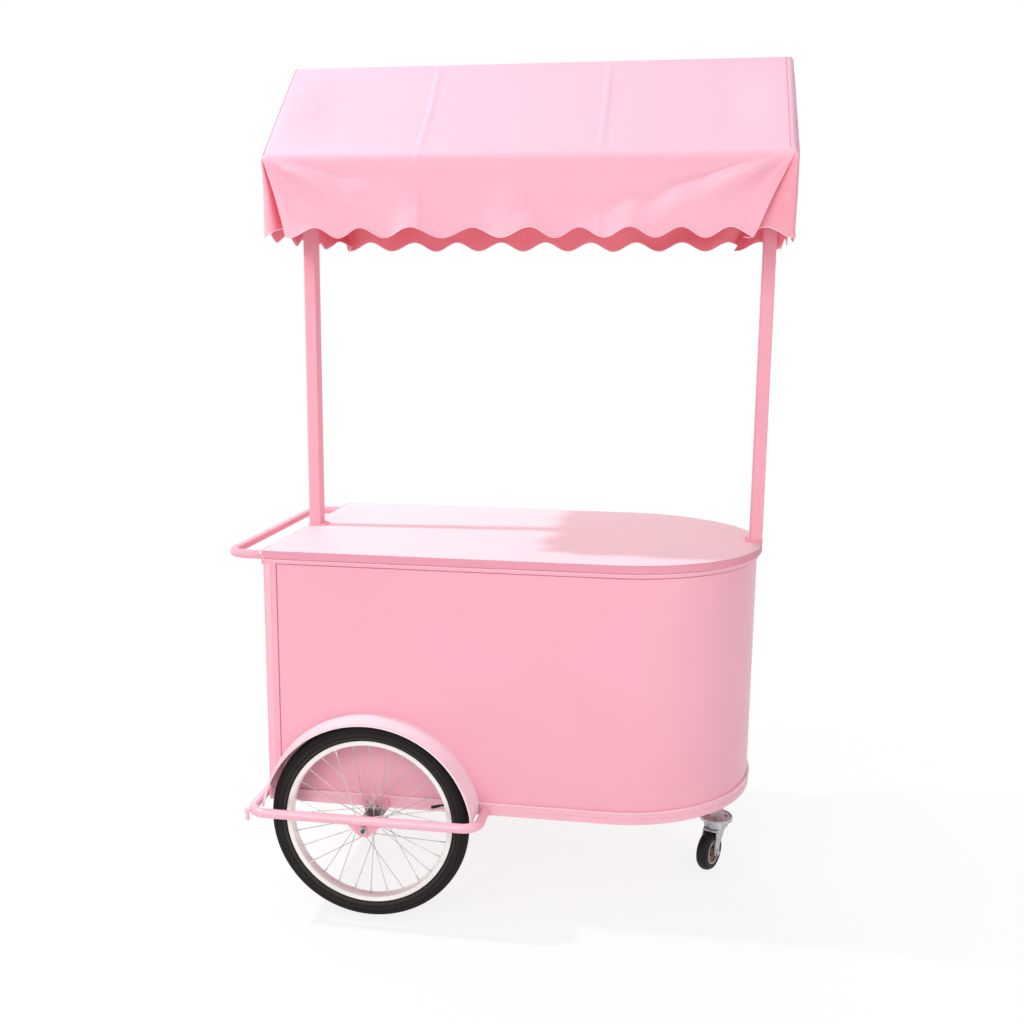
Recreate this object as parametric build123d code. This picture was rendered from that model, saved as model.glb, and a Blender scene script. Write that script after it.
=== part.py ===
from build123d import *
import math
import os

# Snack cart: a sheet-metal cabinet with one half-round end, a counter, two spoked wheels,
# a swivel caster under the nose, and a cloth roof on two posts.
# Millimetres. +Z is up, -Y is the customer's side, and stations run along +X,
# from 0 at the handle end of the counter to its full length at the round nose.

# Driving dimensions
overall_height = 2000.0
counter_length = 1162.0
counter_depth = 692.0
counter_height = 862.0
counter_thickness = 18.0
counter_corner = 6.0
counter_edge = 2.5
cabinet_bottom = 246.0
wheel_diameter = 474.0
wheel_station = 265.0
wheel_plane = 390.0
caster_station = 1080.0
caster_diameter = 100.0
caster_yaw = 243.0
canopy_ends = (-14.0, 1179.0)
canopy_half_depth = 242.0
eave_height = 1762.0
hem_height = 1585.0
handle_reach = 95.0

# Cabinet sheet metal
overhang = 8.0
band_thickness = 3.5
sheet = 1.5
top_band_height = 13.0
bottom_band_height = 31.0
trim_width = 30.0
angle_leg = 25.0
angle_height = 28.0
angle_wall = 3.0
upright_size = 25.0
tube_wall = 1.5
bend_radius = 1.6
beam_width = 40.0
shelf_height = 545.0
rail_leg = 20.0

# Doors in the handle end
door_thickness = 10.0
door_gap = 0.5
door_outer_edge = 302.5
door_inner_edge = 3.0
door_bottom = 303.0
door_top = 797.0
hinge_axis_out = 5.0
hinge_axis_side = 307.5
knuckle_radius = 4.0
pin_radius = 1.8
hinge_length = 60.0
hinge_heights = (390.0, 710.0)
knob_height = 560.0

# Posts and roof frame
post_width = 30.0
post_depth = 40.0
post_corner = 3.5
post_stations = (19.0, 1146.0)
foot_thickness = 4.0
foot_length = 43.0
foot_screw_inset = 6.5
foot_screw_head = 3.6
roof_tube = 20.0
rafter_width = 15.0
cloth = 2.0
cloth_gap = 1.0

# Canopy hem and corner tucks
scallop_height = 23.0
scallops_along = 10
scallops_across = 3
tuck_at_handle_end = 55.0
tuck_at_nose = 85.0
tuck_on_side = 45.0

# Handle, fenders and guard bar
handle_tube = 21.0
handle_side = 312.0
handle_height = 845.0
handle_bend = 45.0
handle_flange = (52.0, 34.0, 4.0)
fender_on_panel = (255.0, 210.0, 267.0)
fender_at_edge = (263.0, 228.0, 253.5)
fender_outer_edge = 420.0
fender_sheet = 2.0
fender_lip = 3.0
fender_foot_height = 264.0
guard_tube = 22.0
guard_height = 257.0
guard_side = 440.0
guard_rear_station = -14.0
guard_front_station = 530.0
guard_bend = 40.0
guard_plate_half = 13.0
standoff_side = 200.0
standoff_half = 18.0
plate = 4.0

# Spoked wheels
axle_radius = 5.0
running_gap = 0.05
tyre_half_width = 19.5
rim_outer = 199.0
rim_inner = 185.0
rim_wall = 2.5
rim_base = 3.0
rim_half_width = 14.5
spoke_count = 28
spoke_radius = 1.1
spoke_crossing = 3
rim_hole_shift = 2.6
hub_barrel = 12.0
hub_flange_radius = 22.0
hub_flange_inside = 26.5
hub_flange_outside = 32.0
hub_half_length = 40.0
nut_across_flats = 17.0
nut_height = 8.0
valve_stem = (2.6, 14.0)
valve_cap = (3.6, 20.0)

# Caster
caster_trail = 36.0
caster_plate_top = 128.0
caster_plate_radius = 42.0
caster_plate_sheet = 4.0
caster_plate_rim = (3.5, 5.0)
caster_bolt_circle = 27.0
caster_wheel_half_width = 16.0
caster_core_radius = 33.0
fork_wall = 3.0
leg_size = 34.0
leg_foot = (35.5, 4.0)
kingpin_radius = 6.0
caster_axle_radius = 4.0
caster_boss = 9.5

# Derived places
half_depth = counter_depth / 2
nose_centre = counter_length - half_depth
counter_bottom = counter_height - counter_thickness
wheel_radius = wheel_diameter / 2
roof_slope = math.atan2(overall_height - eave_height, canopy_half_depth)
left_reach = -handle_reach - handle_tube / 2
mid_station = (left_reach + canopy_ends[1]) / 2
panel_inset = overhang + band_thickness
frame_inset = panel_inset + sheet
post_bottom = counter_height + foot_thickness
frame_offset = cloth + cloth_gap
rafter_peak = overall_height - frame_offset / math.cos(roof_slope)
eave_tube_face = canopy_half_depth - frame_offset
eave_tube_top = rafter_peak - eave_tube_face * math.tan(roof_slope)
ridge_top = rafter_peak - roof_tube / 2 * math.tan(roof_slope) - 0.5
post_top = ridge_top - roof_tube
floor_top = cabinet_bottom + angle_height
tuck_top = eave_tube_top - roof_tube
bracket_bolt_shifts = (-27.0, 27.0)


def x(station):
    """X of a station along the counter."""
    return station - mid_station


def block(station_0, station_1, y_0, y_1, z_0, z_1):
    """Box between limits."""
    middle = Pos(x((station_0 + station_1) / 2), (y_0 + y_1) / 2, (z_0 + z_1) / 2)
    return middle * Box(abs(station_1 - station_0), abs(y_1 - y_0), abs(z_1 - z_0))


def rod(start, end, radius):
    """Round bar from one point to another."""
    start, end = Vector(*start), Vector(*end)
    along = end - start
    return extrude(Plane(start, z_dir=along) * Circle(radius), along.length)


def hex_bar(start, end, across_flats):
    """Six-sided bar between two points, with a flat facing up where it lies level."""
    start, end = Vector(*start), Vector(*end)
    along = end - start
    side = Vector(0, 0, 1) if abs(along.Z) < 1e-6 else Vector(1, 0, 0)
    section = RegularPolygon(across_flats / 2, 6, major_radius=False, rotation=30)
    return extrude(Plane(start, x_dir=side, z_dir=along) * section, along.length)


def square_tube_z(station_0, station_1, y_0, y_1, z_0, z_1, wall):
    """Upright rectangular tube, open at both ends."""
    outside = block(station_0, station_1, y_0, y_1, z_0, z_1)
    bore = block(station_0 + wall, station_1 - wall, y_0 + wall, y_1 - wall, z_0 - 1, z_1 + 1)
    return outside - bore


def both_sides(piece):
    """A piece and its mirror image across the cart's middle plane."""
    return [piece, mirror(piece, about=Plane.XZ)]


def group(pieces):
    """Separate solids in one node."""
    return Compound(children=[solid for piece in pieces for solid in piece.solids()])


def outline(inset):
    """Plan of the cabinet: square at the handle end and half round at the nose."""
    half = half_depth - inset
    left = max(inset - overhang, 0)
    straight = Pos(x((left + nose_centre) / 2), 0) * Rectangle(nose_centre - left, 2 * half)
    nose = Pos(x(nose_centre), 0) * Circle(half)
    return straight + nose


def slab(inset, z_0, z_1):
    """Flat piece with the cabinet's plan."""
    return Pos(0, 0, z_0) * extrude(outline(inset), z_1 - z_0)


def ring(outer_inset, inner_inset, z_0, z_1):
    """Strip that follows the cabinet's plan."""
    return Pos(0, 0, z_0) * extrude(outline(outer_inset) - outline(inner_inset), z_1 - z_0)


def side_bolt(station, side, z, head, inner, radius):
    """Hex bolt along Y: the head stands on the face at side, the shank runs in to inner."""
    head_height = radius * 1.2
    shank = rod((x(station), inner, z), (x(station), side, z), radius)
    head_end = (x(station), side + head_height * head, z)
    return shank + hex_bar((x(station), side, z), head_end, radius * 3.2)


def eased_corners(piece, inset):
    """A strip that follows the plan, with its two square corners eased as a bend is."""
    at_end = piece.edges().filter_by(Axis.Z).group_by(Axis.X)[0]
    corners = [edge for edge in at_end if abs(abs(edge.center().Y) - (half_depth - inset)) < 0.01]
    return fillet(corners, bend_radius)


# Cabinet
upright_boxes = []
corner_inner = half_depth - frame_inset - angle_wall
corner_left = frame_inset - overhang + angle_wall
for side in (-1, 1):
    for station in (corner_left, nose_centre - upright_size):
        upright_boxes.append((station, side * corner_inner, side * (corner_inner - upright_size)))
nose_upright = nose_centre + corner_inner - upright_size - 0.5
upright_boxes.append((nose_upright, -upright_size / 2, upright_size / 2))
upright_bottom = cabinet_bottom + angle_wall
upright_top = counter_bottom - angle_wall


def frame_uprights():
    """Square tubes that carry the top frame, at the corners, the sides and the nose."""
    tubes = []
    for left, a, b in upright_boxes:
        sides = (left, left + upright_size, min(a, b), max(a, b))
        tubes.append(square_tube_z(*sides, upright_bottom, upright_top, tube_wall))
    return tubes


def upright_notches(z_0, z_1):
    """Cut-outs that let the uprights pass through a floor or shelf."""
    gap = 0.5
    return [
        block(left - gap, left + upright_size + gap, min(a, b) - gap, max(a, b) + gap, z_0, z_1)
        for left, a, b in upright_boxes
    ]


def angle_ring(z_outer, z_inner):
    """Angle-steel frame that follows the plan, with its level leg at z_outer."""
    level = min(z_outer, z_outer + math.copysign(angle_wall, z_inner - z_outer))
    low = min(z_outer, z_inner)
    leg = ring(frame_inset, frame_inset + angle_leg, level, level + angle_wall)
    return leg + ring(frame_inset, frame_inset + angle_wall, low, low + angle_height)


def cross_beam(station):
    """Rectangular tube across the bottom frame, its ends cut to the frame's curve."""
    low, high = cabinet_bottom + angle_wall, floor_top
    left, right = station - beam_width / 2, station + beam_width / 2
    reach = half_depth
    tube = block(left, right, -reach, reach, low, high)
    inside = (left + tube_wall, right - tube_wall, -reach - 1, reach + 1)
    tube -= block(*inside, low + tube_wall, high - tube_wall)
    return tube & slab(frame_inset + angle_wall + 0.1, low - 1, high + 1)


def wrap_panel():
    """One sheet bent round the front, the nose and the back, open at the handle end."""
    skin = ring(panel_inset, frame_inset, cabinet_bottom, counter_bottom)
    mouth = half_depth - frame_inset
    return skin - block(-5, frame_inset - overhang + 0.01, -mouth, mouth, 0, counter_height)


def corner_trim():
    """Angle that covers the sheet's edge at one corner of the handle end."""
    low = cabinet_bottom + bottom_band_height
    high = counter_bottom - top_band_height
    outer = half_depth - overhang
    angle = block(0, trim_width, -outer, -outer + band_thickness, low, high)
    angle += block(0, band_thickness, -outer, -outer + trim_width, low, high)
    return eased_corners(angle, overhang)


def end_strip(z_0, z_1):
    """Strip of sheet across the handle end, behind the bands."""
    reach = half_depth - frame_inset
    return block(band_thickness, band_thickness + sheet, -reach, reach, z_0, z_1)


def shelf_rail():
    """Angle along one side under the shelf, from the corner upright to the side upright."""
    outer = corner_inner + angle_wall
    left, right = corner_left + upright_size + 2, nose_centre - upright_size - 2
    wall = 2.0
    leg = block(left, right, -outer, -outer + rail_leg, shelf_height - wall, shelf_height)
    return leg + block(left, right, -outer, -outer + wall, shelf_height - rail_leg, shelf_height)


def counter_top():
    """Counter board with softened edges, drilled for the post feet and the handle."""
    board = slab(0, counter_bottom, counter_height)
    board = fillet(board.edges().filter_by(Axis.Z).group_by(Axis.X)[0], counter_corner)
    board = fillet(board.edges().group_by(Axis.Z)[-1], counter_edge)
    for spot in foot_screw_spots():
        board -= rod((*spot, counter_height - 15), (*spot, counter_height + 1), 2.6)
    for y, z in handle_bolt_spots():
        board -= rod((x(-1), y, z), (x(26), y, z), 3.1)
    return board


# Posts and roof frame
def foot_spans():
    """Station limits of the two foot plates, which reach inboard of the posts."""
    left = post_stations[0] - post_width / 2
    right = post_stations[1] + post_width / 2
    return [(left, left + foot_length), (right - foot_length, right)]


def foot_screw_spots():
    """Plan positions of the screws that hold the foot plates."""
    (_, left_end), (right_start, _) = foot_spans()
    stations = (left_end - foot_screw_inset, right_start + foot_screw_inset)
    return [(x(station), y) for station in stations for y in (-12.0, 12.0)]


def post(station):
    """Rectangular tube with rounded corners, from its foot plate to the ridge."""
    outside = RectangleRounded(post_width, post_depth, post_corner)
    bore = RectangleRounded(post_width - 2 * tube_wall, post_depth - 2 * tube_wall, post_corner - tube_wall)
    return Pos(x(station), 0, post_bottom) * extrude(outside - bore, post_top - post_bottom)


def post_feet():
    """Foot plates, drilled for two screws each."""
    feet = []
    for start, end in foot_spans():
        foot = block(start, end, -post_depth / 2, post_depth / 2, counter_height, post_bottom)
        for spot in foot_screw_spots():
            foot -= rod((*spot, counter_height - 1), (*spot, post_bottom + 1), 2.6)
        feet.append(foot)
    return feet


def foot_screw(spot):
    """Round-head screw through a foot plate into the counter."""
    shank = rod((*spot, counter_height - 14), (*spot, post_bottom), 2.5)
    above = Pos(0, 0, foot_screw_head) * Box(3 * foot_screw_head, 3 * foot_screw_head, 2 * foot_screw_head)
    dome = Pos(*spot, post_bottom) * (Sphere(foot_screw_head) & above)
    return shank + dome


def rafter(station):
    """One sloping bar of a gable, standing on the tie and mitred at the peak."""
    inner_peak = rafter_peak - roof_tube / math.cos(roof_slope)
    inner_foot = (inner_peak - eave_tube_top) / math.tan(roof_slope)
    outer_line = [(0, rafter_peak), (-eave_tube_face, eave_tube_top)]
    inner_line = [(-inner_foot, eave_tube_top), (0, inner_peak)]
    return gable_plate(outer_line + inner_line, station)


def gable_plate(points, station):
    """Flat bar of a gable from its outline across the cart."""
    face = make_face(Polyline(*points, close=True))
    return extrude(Plane((x(station), 0, 0), x_dir=(0, 1, 0), z_dir=(1, 0, 0)) * face, rafter_width)


def gable_stations():
    """Where each gable starts, on the outer face of its post."""
    return (post_stations[0] - post_width / 2 - rafter_width, post_stations[1] + post_width / 2)


def roof_span():
    """Stations between the two gables."""
    first, second = gable_stations()
    return first + rafter_width, second


def long_tube(y_0, z_0):
    """Square tube along the roof, from gable to gable."""
    start, end = roof_span()
    outside = block(start, end, y_0, y_0 + roof_tube, z_0, z_0 + roof_tube)
    low, high = tube_wall, roof_tube - tube_wall
    return outside - block(start - 1, end + 1, y_0 + low, y_0 + high, z_0 + low, z_0 + high)


def tie_tube(station):
    """Level bar of a gable between the eaves."""
    low, high = eave_tube_top - roof_tube, eave_tube_top
    reach = eave_tube_face
    return gable_plate([(-reach, low), (reach, low), (reach, high), (-reach, high)], station)


# Canopy cover
def house(inset, bottom):
    """House-shaped solid of the cover, moved in by inset, with a tuck at each lower corner."""
    half = canopy_half_depth - inset
    peak = overall_height - inset / math.cos(roof_slope)
    eave = peak - half * math.tan(roof_slope)
    start, end = canopy_ends[0] + inset, canopy_ends[1] - inset
    points = [(-half, bottom), (half, bottom), (half, eave), (0, peak), (-half, eave)]
    face = make_face(Polyline(*points, close=True))
    solid = extrude(Plane((x(start), 0, 0), x_dir=(0, 1, 0), z_dir=(1, 0, 0)) * face, end - start)
    at_ends = ((-1, canopy_ends[0], tuck_at_handle_end), (1, canopy_ends[1], tuck_at_nose))
    for end_sign, corner, tuck in at_ends:
        for side in (-1, 1):
            top = Vector(x(corner), side * canopy_half_depth, tuck_top)
            on_long = Vector(x(corner) - end_sign * tuck, side * canopy_half_depth, hem_height)
            on_end = Vector(x(corner), side * (canopy_half_depth - tuck_on_side), hem_height)
            outward = (on_end - top).cross(on_long - top).normalized() * (end_sign * side)
            facet = Plane(top - outward * inset, z_dir=outward)
            solid = split(solid, bisect_by=facet, keep=Keep.BOTTOM).solid()
    return solid


def wave_face(start, pitch, count):
    """Area under a wavy line of equal arcs, with a high point at start."""
    rise = scallop_height / 2
    step = pitch / 2
    left = start - pitch / 4
    edges = []
    for index in range(2 * count + 1):
        a = left + index * step
        top = hem_height + (rise if index % 2 == 0 else -rise)
        edges.append(ThreePointArc((a, hem_height), (a + step / 2, top), (a + step, hem_height)))
    right = left + (2 * count + 1) * step
    low = hem_height - 3 * scallop_height
    edges.append(Polyline((left, hem_height), (left, low), (right, low), (right, hem_height)))
    return make_face(edges)


def canopy_cover():
    """Cloth roof with slopes, gable ends, hanging sides, corner tucks and a scalloped hem."""
    low = hem_height - scallop_height / 2
    cover = house(0, low) - house(cloth, low - 1)
    length = canopy_ends[1] - canopy_ends[0]
    corner = canopy_half_depth - tuck_on_side
    along = wave_face(x(canopy_ends[0]), length / scallops_along, scallops_along)
    for side in (-1, 1):
        plane = Plane((0, side * (corner + 50), 0), x_dir=(1, 0, 0), z_dir=(0, -1, 0))
        cover -= extrude(plane * along, 50, both=True)
    across = wave_face(-corner, 2 * corner / scallops_across, scallops_across)
    limits = [(-corner, 0), (corner, 0), (corner, eave_height), (-corner, eave_height)]
    band = make_face(Polyline(*limits, close=True))
    for station in canopy_ends:
        plane = Plane((x(station), 0, 0), x_dir=(0, 1, 0), z_dir=(1, 0, 0))
        cover -= extrude(plane * (across & band), 12, both=True)
    return cover


# Handle
def handle_bolt_spots():
    """Bolt positions on the end of the counter, beside the handle's legs."""
    height = counter_bottom + counter_thickness / 2
    return [(side * (handle_side + shift), height) for side in (-1, 1) for shift in (-19.0, 19.0)]


def push_handle():
    """U-shaped tube in a level plane behind the counter."""
    flange = handle_flange[2]
    near, far = x(-flange), x(-handle_reach)
    corners = [(near, -handle_side), (far, -handle_side), (far, handle_side), (near, handle_side)]
    path = FilletPolyline(*[(px, py, handle_height) for px, py in corners], radius=handle_bend)
    section = Circle(handle_tube / 2) - Circle(handle_tube / 2 - tube_wall)
    return sweep(Plane(path @ 0, z_dir=path % 0) * section, path)


def handle_flanges():
    """Plates at the ends of the handle, each drilled for two bolts."""
    width, height, thickness = handle_flange
    low = handle_height - height / 2
    pieces = []
    for side in (-1, 1):
        middle = side * handle_side
        pad = block(-thickness, 0, middle - width / 2, middle + width / 2, low, low + height)
        for y, z in handle_bolt_spots():
            pad -= rod((x(-thickness - 1), y, z), (x(1), y, z), 3.1)
        pieces.append(pad)
    return pieces


def handle_bolt(y, z):
    """Hex bolt through a handle plate into the end of the counter."""
    face = x(-handle_flange[2])
    return rod((face, y, z), (x(25), y, z), 3.0) + hex_bar((face - 4.0, y, z), (face, y, z), 10.0)


# Fenders and guard bar
def fender_disc(side, drop):
    """Round section of a fender at one distance from the middle of the cart, made smaller by a drop."""
    inner = half_depth - panel_inset
    share = (side - inner) / (fender_outer_edge - inner)
    pairs = zip(fender_on_panel, fender_at_edge)
    station, height, radius = (near + (far - near) * share for near, far in pairs)
    place = Plane((x(station), -side, height), x_dir=(1, 0, 0), z_dir=(0, -1, 0))
    return place * Circle(radius - drop)


def fender():
    """Band over one wheel, wider where it meets the panel, with a narrow turned-in front edge."""
    inner, outer = half_depth - panel_inset, fender_outer_edge
    shell = loft([fender_disc(inner, 0), fender_disc(outer, 0)], ruled=True)
    hollow_discs = [fender_disc(side, fender_sheet) for side in (inner, outer - fender_sheet)]
    hollow = loft(hollow_discs, ruled=True)
    mouth = extrude(fender_disc(outer, fender_sheet + fender_lip), -10)
    band = shell - hollow - mouth
    reach = fender_on_panel[0] + fender_on_panel[2]
    band &= block(1.0, reach + 1, -inner, -outer, fender_foot_height, overall_height)
    outer_skin = ring(overhang, panel_inset, cabinet_bottom, cabinet_bottom + bottom_band_height)
    return band - corner_trim() - outer_skin


def guard_path():
    """Level line of the guard bar, round the rear of the cart from one side to the other."""
    face = half_depth - overhang + plate
    front, rear = x(guard_front_station), x(guard_rear_station)
    corners = [(front, -face), (front, -guard_side), (rear, -guard_side)]
    corners += [(cx, -cy) for cx, cy in reversed(corners)]
    return FilletPolyline(*[(cx, cy, guard_height) for cx, cy in corners], radius=guard_bend)


def guard_bar():
    """One bent tube that shields both wheels and carries their outer axle plates."""
    path = guard_path()
    section = Circle(guard_tube / 2) - Circle(guard_tube / 2 - tube_wall)
    return sweep(Plane(path @ 0, z_dir=path % 0) * section, path)


def guard_side_plate():
    """Plate at one end of the guard bar, on the bottom band."""
    face = half_depth - overhang
    left, right = guard_front_station - guard_plate_half, guard_front_station + guard_plate_half
    low, high = cabinet_bottom + 1, cabinet_bottom + bottom_band_height - 3
    return block(left, right, -face - plate, -face, low, high)


def guard_standoff():
    """Saddle between the guard bar's rear run and the handle end of the cabinet."""
    near, far = -standoff_side + standoff_half, -standoff_side - standoff_half
    pad = block(guard_rear_station, 0, far, near, guard_height - 8, guard_height + 8)
    centre = x(guard_rear_station)
    return pad - rod((centre, far - 10, guard_height), (centre, near + 10, guard_height), guard_tube / 2)


def guard_lug():
    """Small hooked ear welded to the outside of the rear bend."""
    reach = guard_bend * (1 - math.sqrt(0.5))
    bend_x, bend_y = x(guard_rear_station) + reach, -guard_side + reach
    ear = Pos(bend_x - 14, bend_y - 14, guard_height - 4) * Rot(0, 0, 45) * Box(5, 16, 26)
    hole_height = guard_height - 11
    hole = rod((bend_x - 30, bend_y - 2, hole_height), (bend_x + 2, bend_y - 30, hole_height), 3)
    mid = Vector(bend_x, bend_y, guard_height)
    along = Vector(1, -1, 0).normalized() * 40
    bar = rod(tuple(mid - along), tuple(mid + along), guard_tube / 2)
    return ear - bar - hole


def outer_axle_hanger():
    """Pointed plate welded under the guard bar, which holds the outer end of an axle."""
    half_top, half_low, low = 36.0, 9.0, wheel_radius - 19
    high = guard_height - 6
    outline_points = pointed(half_top, half_low, high, high - 8, low)
    return axle_plate(outline_points, guard_side - plate / 2) - guard_run()


def pointed(half_top, half_low, high, shoulder, low):
    """Outline of a plate with upright sides that then taper to a narrow foot."""
    right = [(half_top, high), (half_top, shoulder), (half_low, low)]
    return right + [(-px, pz) for px, pz in reversed(right)]


def guard_run():
    """Solid bar on the guard's straight run, to cut seats for what is welded on it."""
    return rod((x(0), -guard_side, guard_height), (x(500), -guard_side, guard_height), guard_tube / 2)


def inner_axle_bracket():
    """Plate bolted to the bottom band, which holds the inner end of an axle."""
    half_top, half_low, low = 34.0, 13.0, wheel_radius - 19
    high = cabinet_bottom + bottom_band_height - 2
    points = pointed(half_top, half_low, high, cabinet_bottom + 4, low)
    bracket = axle_plate(points, half_depth - overhang)
    for shift in bracket_bolt_shifts:
        bracket -= bracket_bolt_hole(shift)
    return bracket


def bracket_bolt_hole(shift):
    """Clearance hole for one bracket bolt, through plate, band, panel and frame."""
    station, z = wheel_station + shift, cabinet_bottom + 17
    return rod((x(station), -half_depth - 10, z), (x(station), -half_depth + 30, z), 4.1)


def bracket_bolt(shift):
    """Hex bolt that holds an axle bracket to the bottom frame."""
    face = -(half_depth - overhang + plate)
    inner = -(half_depth - frame_inset - angle_wall) + 6
    return side_bolt(wheel_station + shift, face, cabinet_bottom + 17, -1, inner, 4.0)


def axle_plate(points, near):
    """Plate across an axle, from its outline about the axle, starting near the cabinet."""
    face = make_face(Polyline(*[(x(wheel_station) + px, pz) for px, pz in points], close=True))
    upright = Plane((0, -near, 0), x_dir=(1, 0, 0), z_dir=(0, -1, 0))
    solid = extrude(upright * face, plate)
    inside, outside = -near + 5, -near - plate - 5
    centre = x(wheel_station)
    return solid - rod((centre, inside, wheel_radius), (centre, outside, wheel_radius), axle_radius + 0.1)


def drilled_for_brackets(piece):
    """A side piece with the holes for both brackets' bolts."""
    for shift in bracket_bolt_shifts:
        for hole in both_sides(bracket_bolt_hole(shift)):
            piece -= hole
    return piece


# Spoked wheels, modelled about the Y axis at the origin and then put in place
def about_axle(points):
    """Ring turned about the wheel's axle from points of radius and Y."""
    face = make_face(Plane.XY * Polyline(*points, close=True))
    return revolve(face, axis=Axis.Y)


def tyre():
    """Slim road tyre with a rounded crown, seated in the rim."""
    bead = rim_half_width - rim_wall
    low, edge = rim_inner + rim_base, rim_outer + 1
    shoulder = (wheel_radius - 7, tyre_half_width - 4)
    wide = ((edge + shoulder[0]) / 2, tyre_half_width)
    lines = [
        Line((low, -bead), (low, bead)), Line((low, bead), (edge, bead)),
        ThreePointArc((edge, bead), wide, shoulder),
        ThreePointArc(shoulder, (wheel_radius, 0), (shoulder[0], -shoulder[1])),
        ThreePointArc((shoulder[0], -shoulder[1]), (wide[0], -wide[1]), (edge, -bead)),
        Line((edge, -bead), (low, -bead)),
    ]
    return revolve(make_face(lines), axis=Axis.Y)


def rim():
    """U-section rim."""
    half, inside = rim_half_width, rim_half_width - rim_wall
    base = rim_inner + rim_base
    well = 5.0
    near = [(rim_inner, well), (rim_inner + 2, half), (rim_outer, half), (rim_outer, inside), (base, inside)]
    return about_axle(near + [(r, -y) for r, y in reversed(near)])


def hub():
    """Hub shell with two spoke flanges, bored to run on its axle."""
    bore = axle_radius + running_gap
    half = [(bore, hub_half_length), (10, hub_half_length), (10, hub_flange_outside),
            (hub_flange_radius, hub_flange_outside), (hub_flange_radius, hub_flange_inside),
            (hub_barrel, hub_flange_inside - 4)]
    return about_axle(half + [(r, -y) for r, y in reversed(half)])


def spokes():
    """Straight spokes laced three-cross between the flanges and the rim."""
    per_flange = spoke_count // 2
    per_turn = 360.0 / spoke_count
    pieces = []
    for index in range(spoke_count):
        side = 1 if index % 2 == 0 else -1
        pair = (index // 2) % 2
        lean = (1 if pair == 0 else -1) * spoke_crossing * 360.0 / per_flange
        rim_angle = math.radians(index * per_turn)
        hub_angle = rim_angle + math.radians(lean)
        layer = 1.35 if pair == 0 else -1.35
        middle = (hub_flange_inside + hub_flange_outside) / 2
        start = Vector(math.cos(hub_angle), 0, math.sin(hub_angle)) * (hub_flange_radius - 3)
        end = Vector(math.cos(rim_angle), 0, math.sin(rim_angle)) * (rim_inner + 1.5)
        start += Vector(0, side * (middle + layer), 0)
        end += Vector(0, side * (rim_hole_shift + layer), 0)
        along = end - start
        section = RegularPolygon(spoke_radius, 6)
        pieces.append(extrude(Plane(start, z_dir=along) * section, along.length))
    return pieces


def valve():
    """Tyre valve that stands in from the rim."""
    start = rim_inner + 1
    stem = rod((start, 0, 0), (start - valve_stem[1], 0, 0), valve_stem[0])
    cap_start = start - valve_stem[1] + 1
    return stem + rod((cap_start, 0, 0), (cap_start - valve_cap[1], 0, 0), valve_cap[0])


def placed_wheel(piece, side, turn):
    """Put a wheel's piece on its axle, turned about it."""
    return Pos(x(wheel_station), side * wheel_plane, wheel_radius) * Rot(0, turn, 0) * piece


def wheel_axle():
    """Fixed axle of one wheel with its cones."""
    inner = half_depth - overhang - nut_height - 3
    outer = guard_side + plate / 2 + nut_height + 4
    axle = rod((0, -inner, 0), (0, -outer, 0), axle_radius)
    inner_face = half_depth - overhang + plate
    outer_face = guard_side - plate / 2
    shell = hub_half_length + 0.4
    axle += rod((0, -inner_face, 0), (0, -(wheel_plane - shell), 0), 8.0)
    axle += rod((0, -(wheel_plane + shell), 0), (0, -outer_face, 0), 8.0)
    return Pos(x(wheel_station), 0, wheel_radius) * axle


def axle_nuts():
    """Two nuts of one axle, against the bracket and the hanger."""
    inner_face = half_depth - overhang
    outer_face = guard_side + plate / 2
    nuts = []
    for start, way in ((inner_face, -1), (outer_face, 1)):
        near = (x(wheel_station), -start, wheel_radius)
        far = (x(wheel_station), -(start + way * nut_height), wheel_radius)
        nuts.append(hex_bar(near, far, nut_across_flats))
    centre = x(wheel_station)
    bore = rod((centre, -300, wheel_radius), (centre, -480, wheel_radius), axle_radius + 0.02)
    return [nut - bore for nut in nuts]


# Caster, modelled with its swivel axis on Z and its trail along +X
def caster_bolt_spots():
    """Places of the studs round the caster plate."""
    ring_radius = caster_bolt_circle
    return [(ring_radius, 0.0), (0.0, ring_radius), (-ring_radius, 0.0), (0.0, -ring_radius)]


def drilled_for_studs(pad, z):
    """A round plate with clearance holes for the caster's studs."""
    for px, py in caster_bolt_spots():
        pad -= Pos(px, py, z) * Cylinder(3.1, 30)
    return pad


def caster_leg():
    """Drop leg under the caster beam, with a round drilled foot plate."""
    foot_radius, foot = leg_foot
    low, high = caster_plate_top + foot, cabinet_bottom + angle_wall
    leg = Pos(0, 0, (low + high) / 2) * Box(leg_size, leg_size, high - low)
    hollow = Box(leg_size - 5, leg_size - 5, 1000)
    pad = rod((0, 0, caster_plate_top), (0, 0, low), foot_radius)
    return (leg - hollow) + drilled_for_studs(pad, low)


def caster_plate():
    """Fixed round top plate of the caster with a raised rim, its kingpin and the kingpin's nut."""
    low = caster_plate_top - caster_plate_sheet
    rim_width, rim_height = caster_plate_rim
    dish = rod((0, 0, low), (0, 0, caster_plate_top + rim_height), caster_plate_radius)
    dish = fillet(dish.edges().filter_by(GeomType.CIRCLE), 1.2)
    dish -= rod((0, 0, caster_plate_top), (0, 0, 200), caster_plate_radius - rim_width)
    kingpin = rod((0, 0, 97), (0, 0, low), kingpin_radius)
    kingpin += hex_bar((0, 0, 93), (0, 0, 98.6), nut_across_flats)
    return drilled_for_studs(dish, caster_plate_top) + kingpin


def caster_bolt(px, py):
    """Stud through the caster plate and the leg's foot, with its nut on top."""
    low, high = caster_plate_top - caster_plate_sheet, caster_plate_top + leg_foot[1]
    stud = rod((px, py, low), (px, py, high + 6.5), 3.0)
    return stud + hex_bar((px, py, high), (px, py, high + 5), 10.0)


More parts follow.
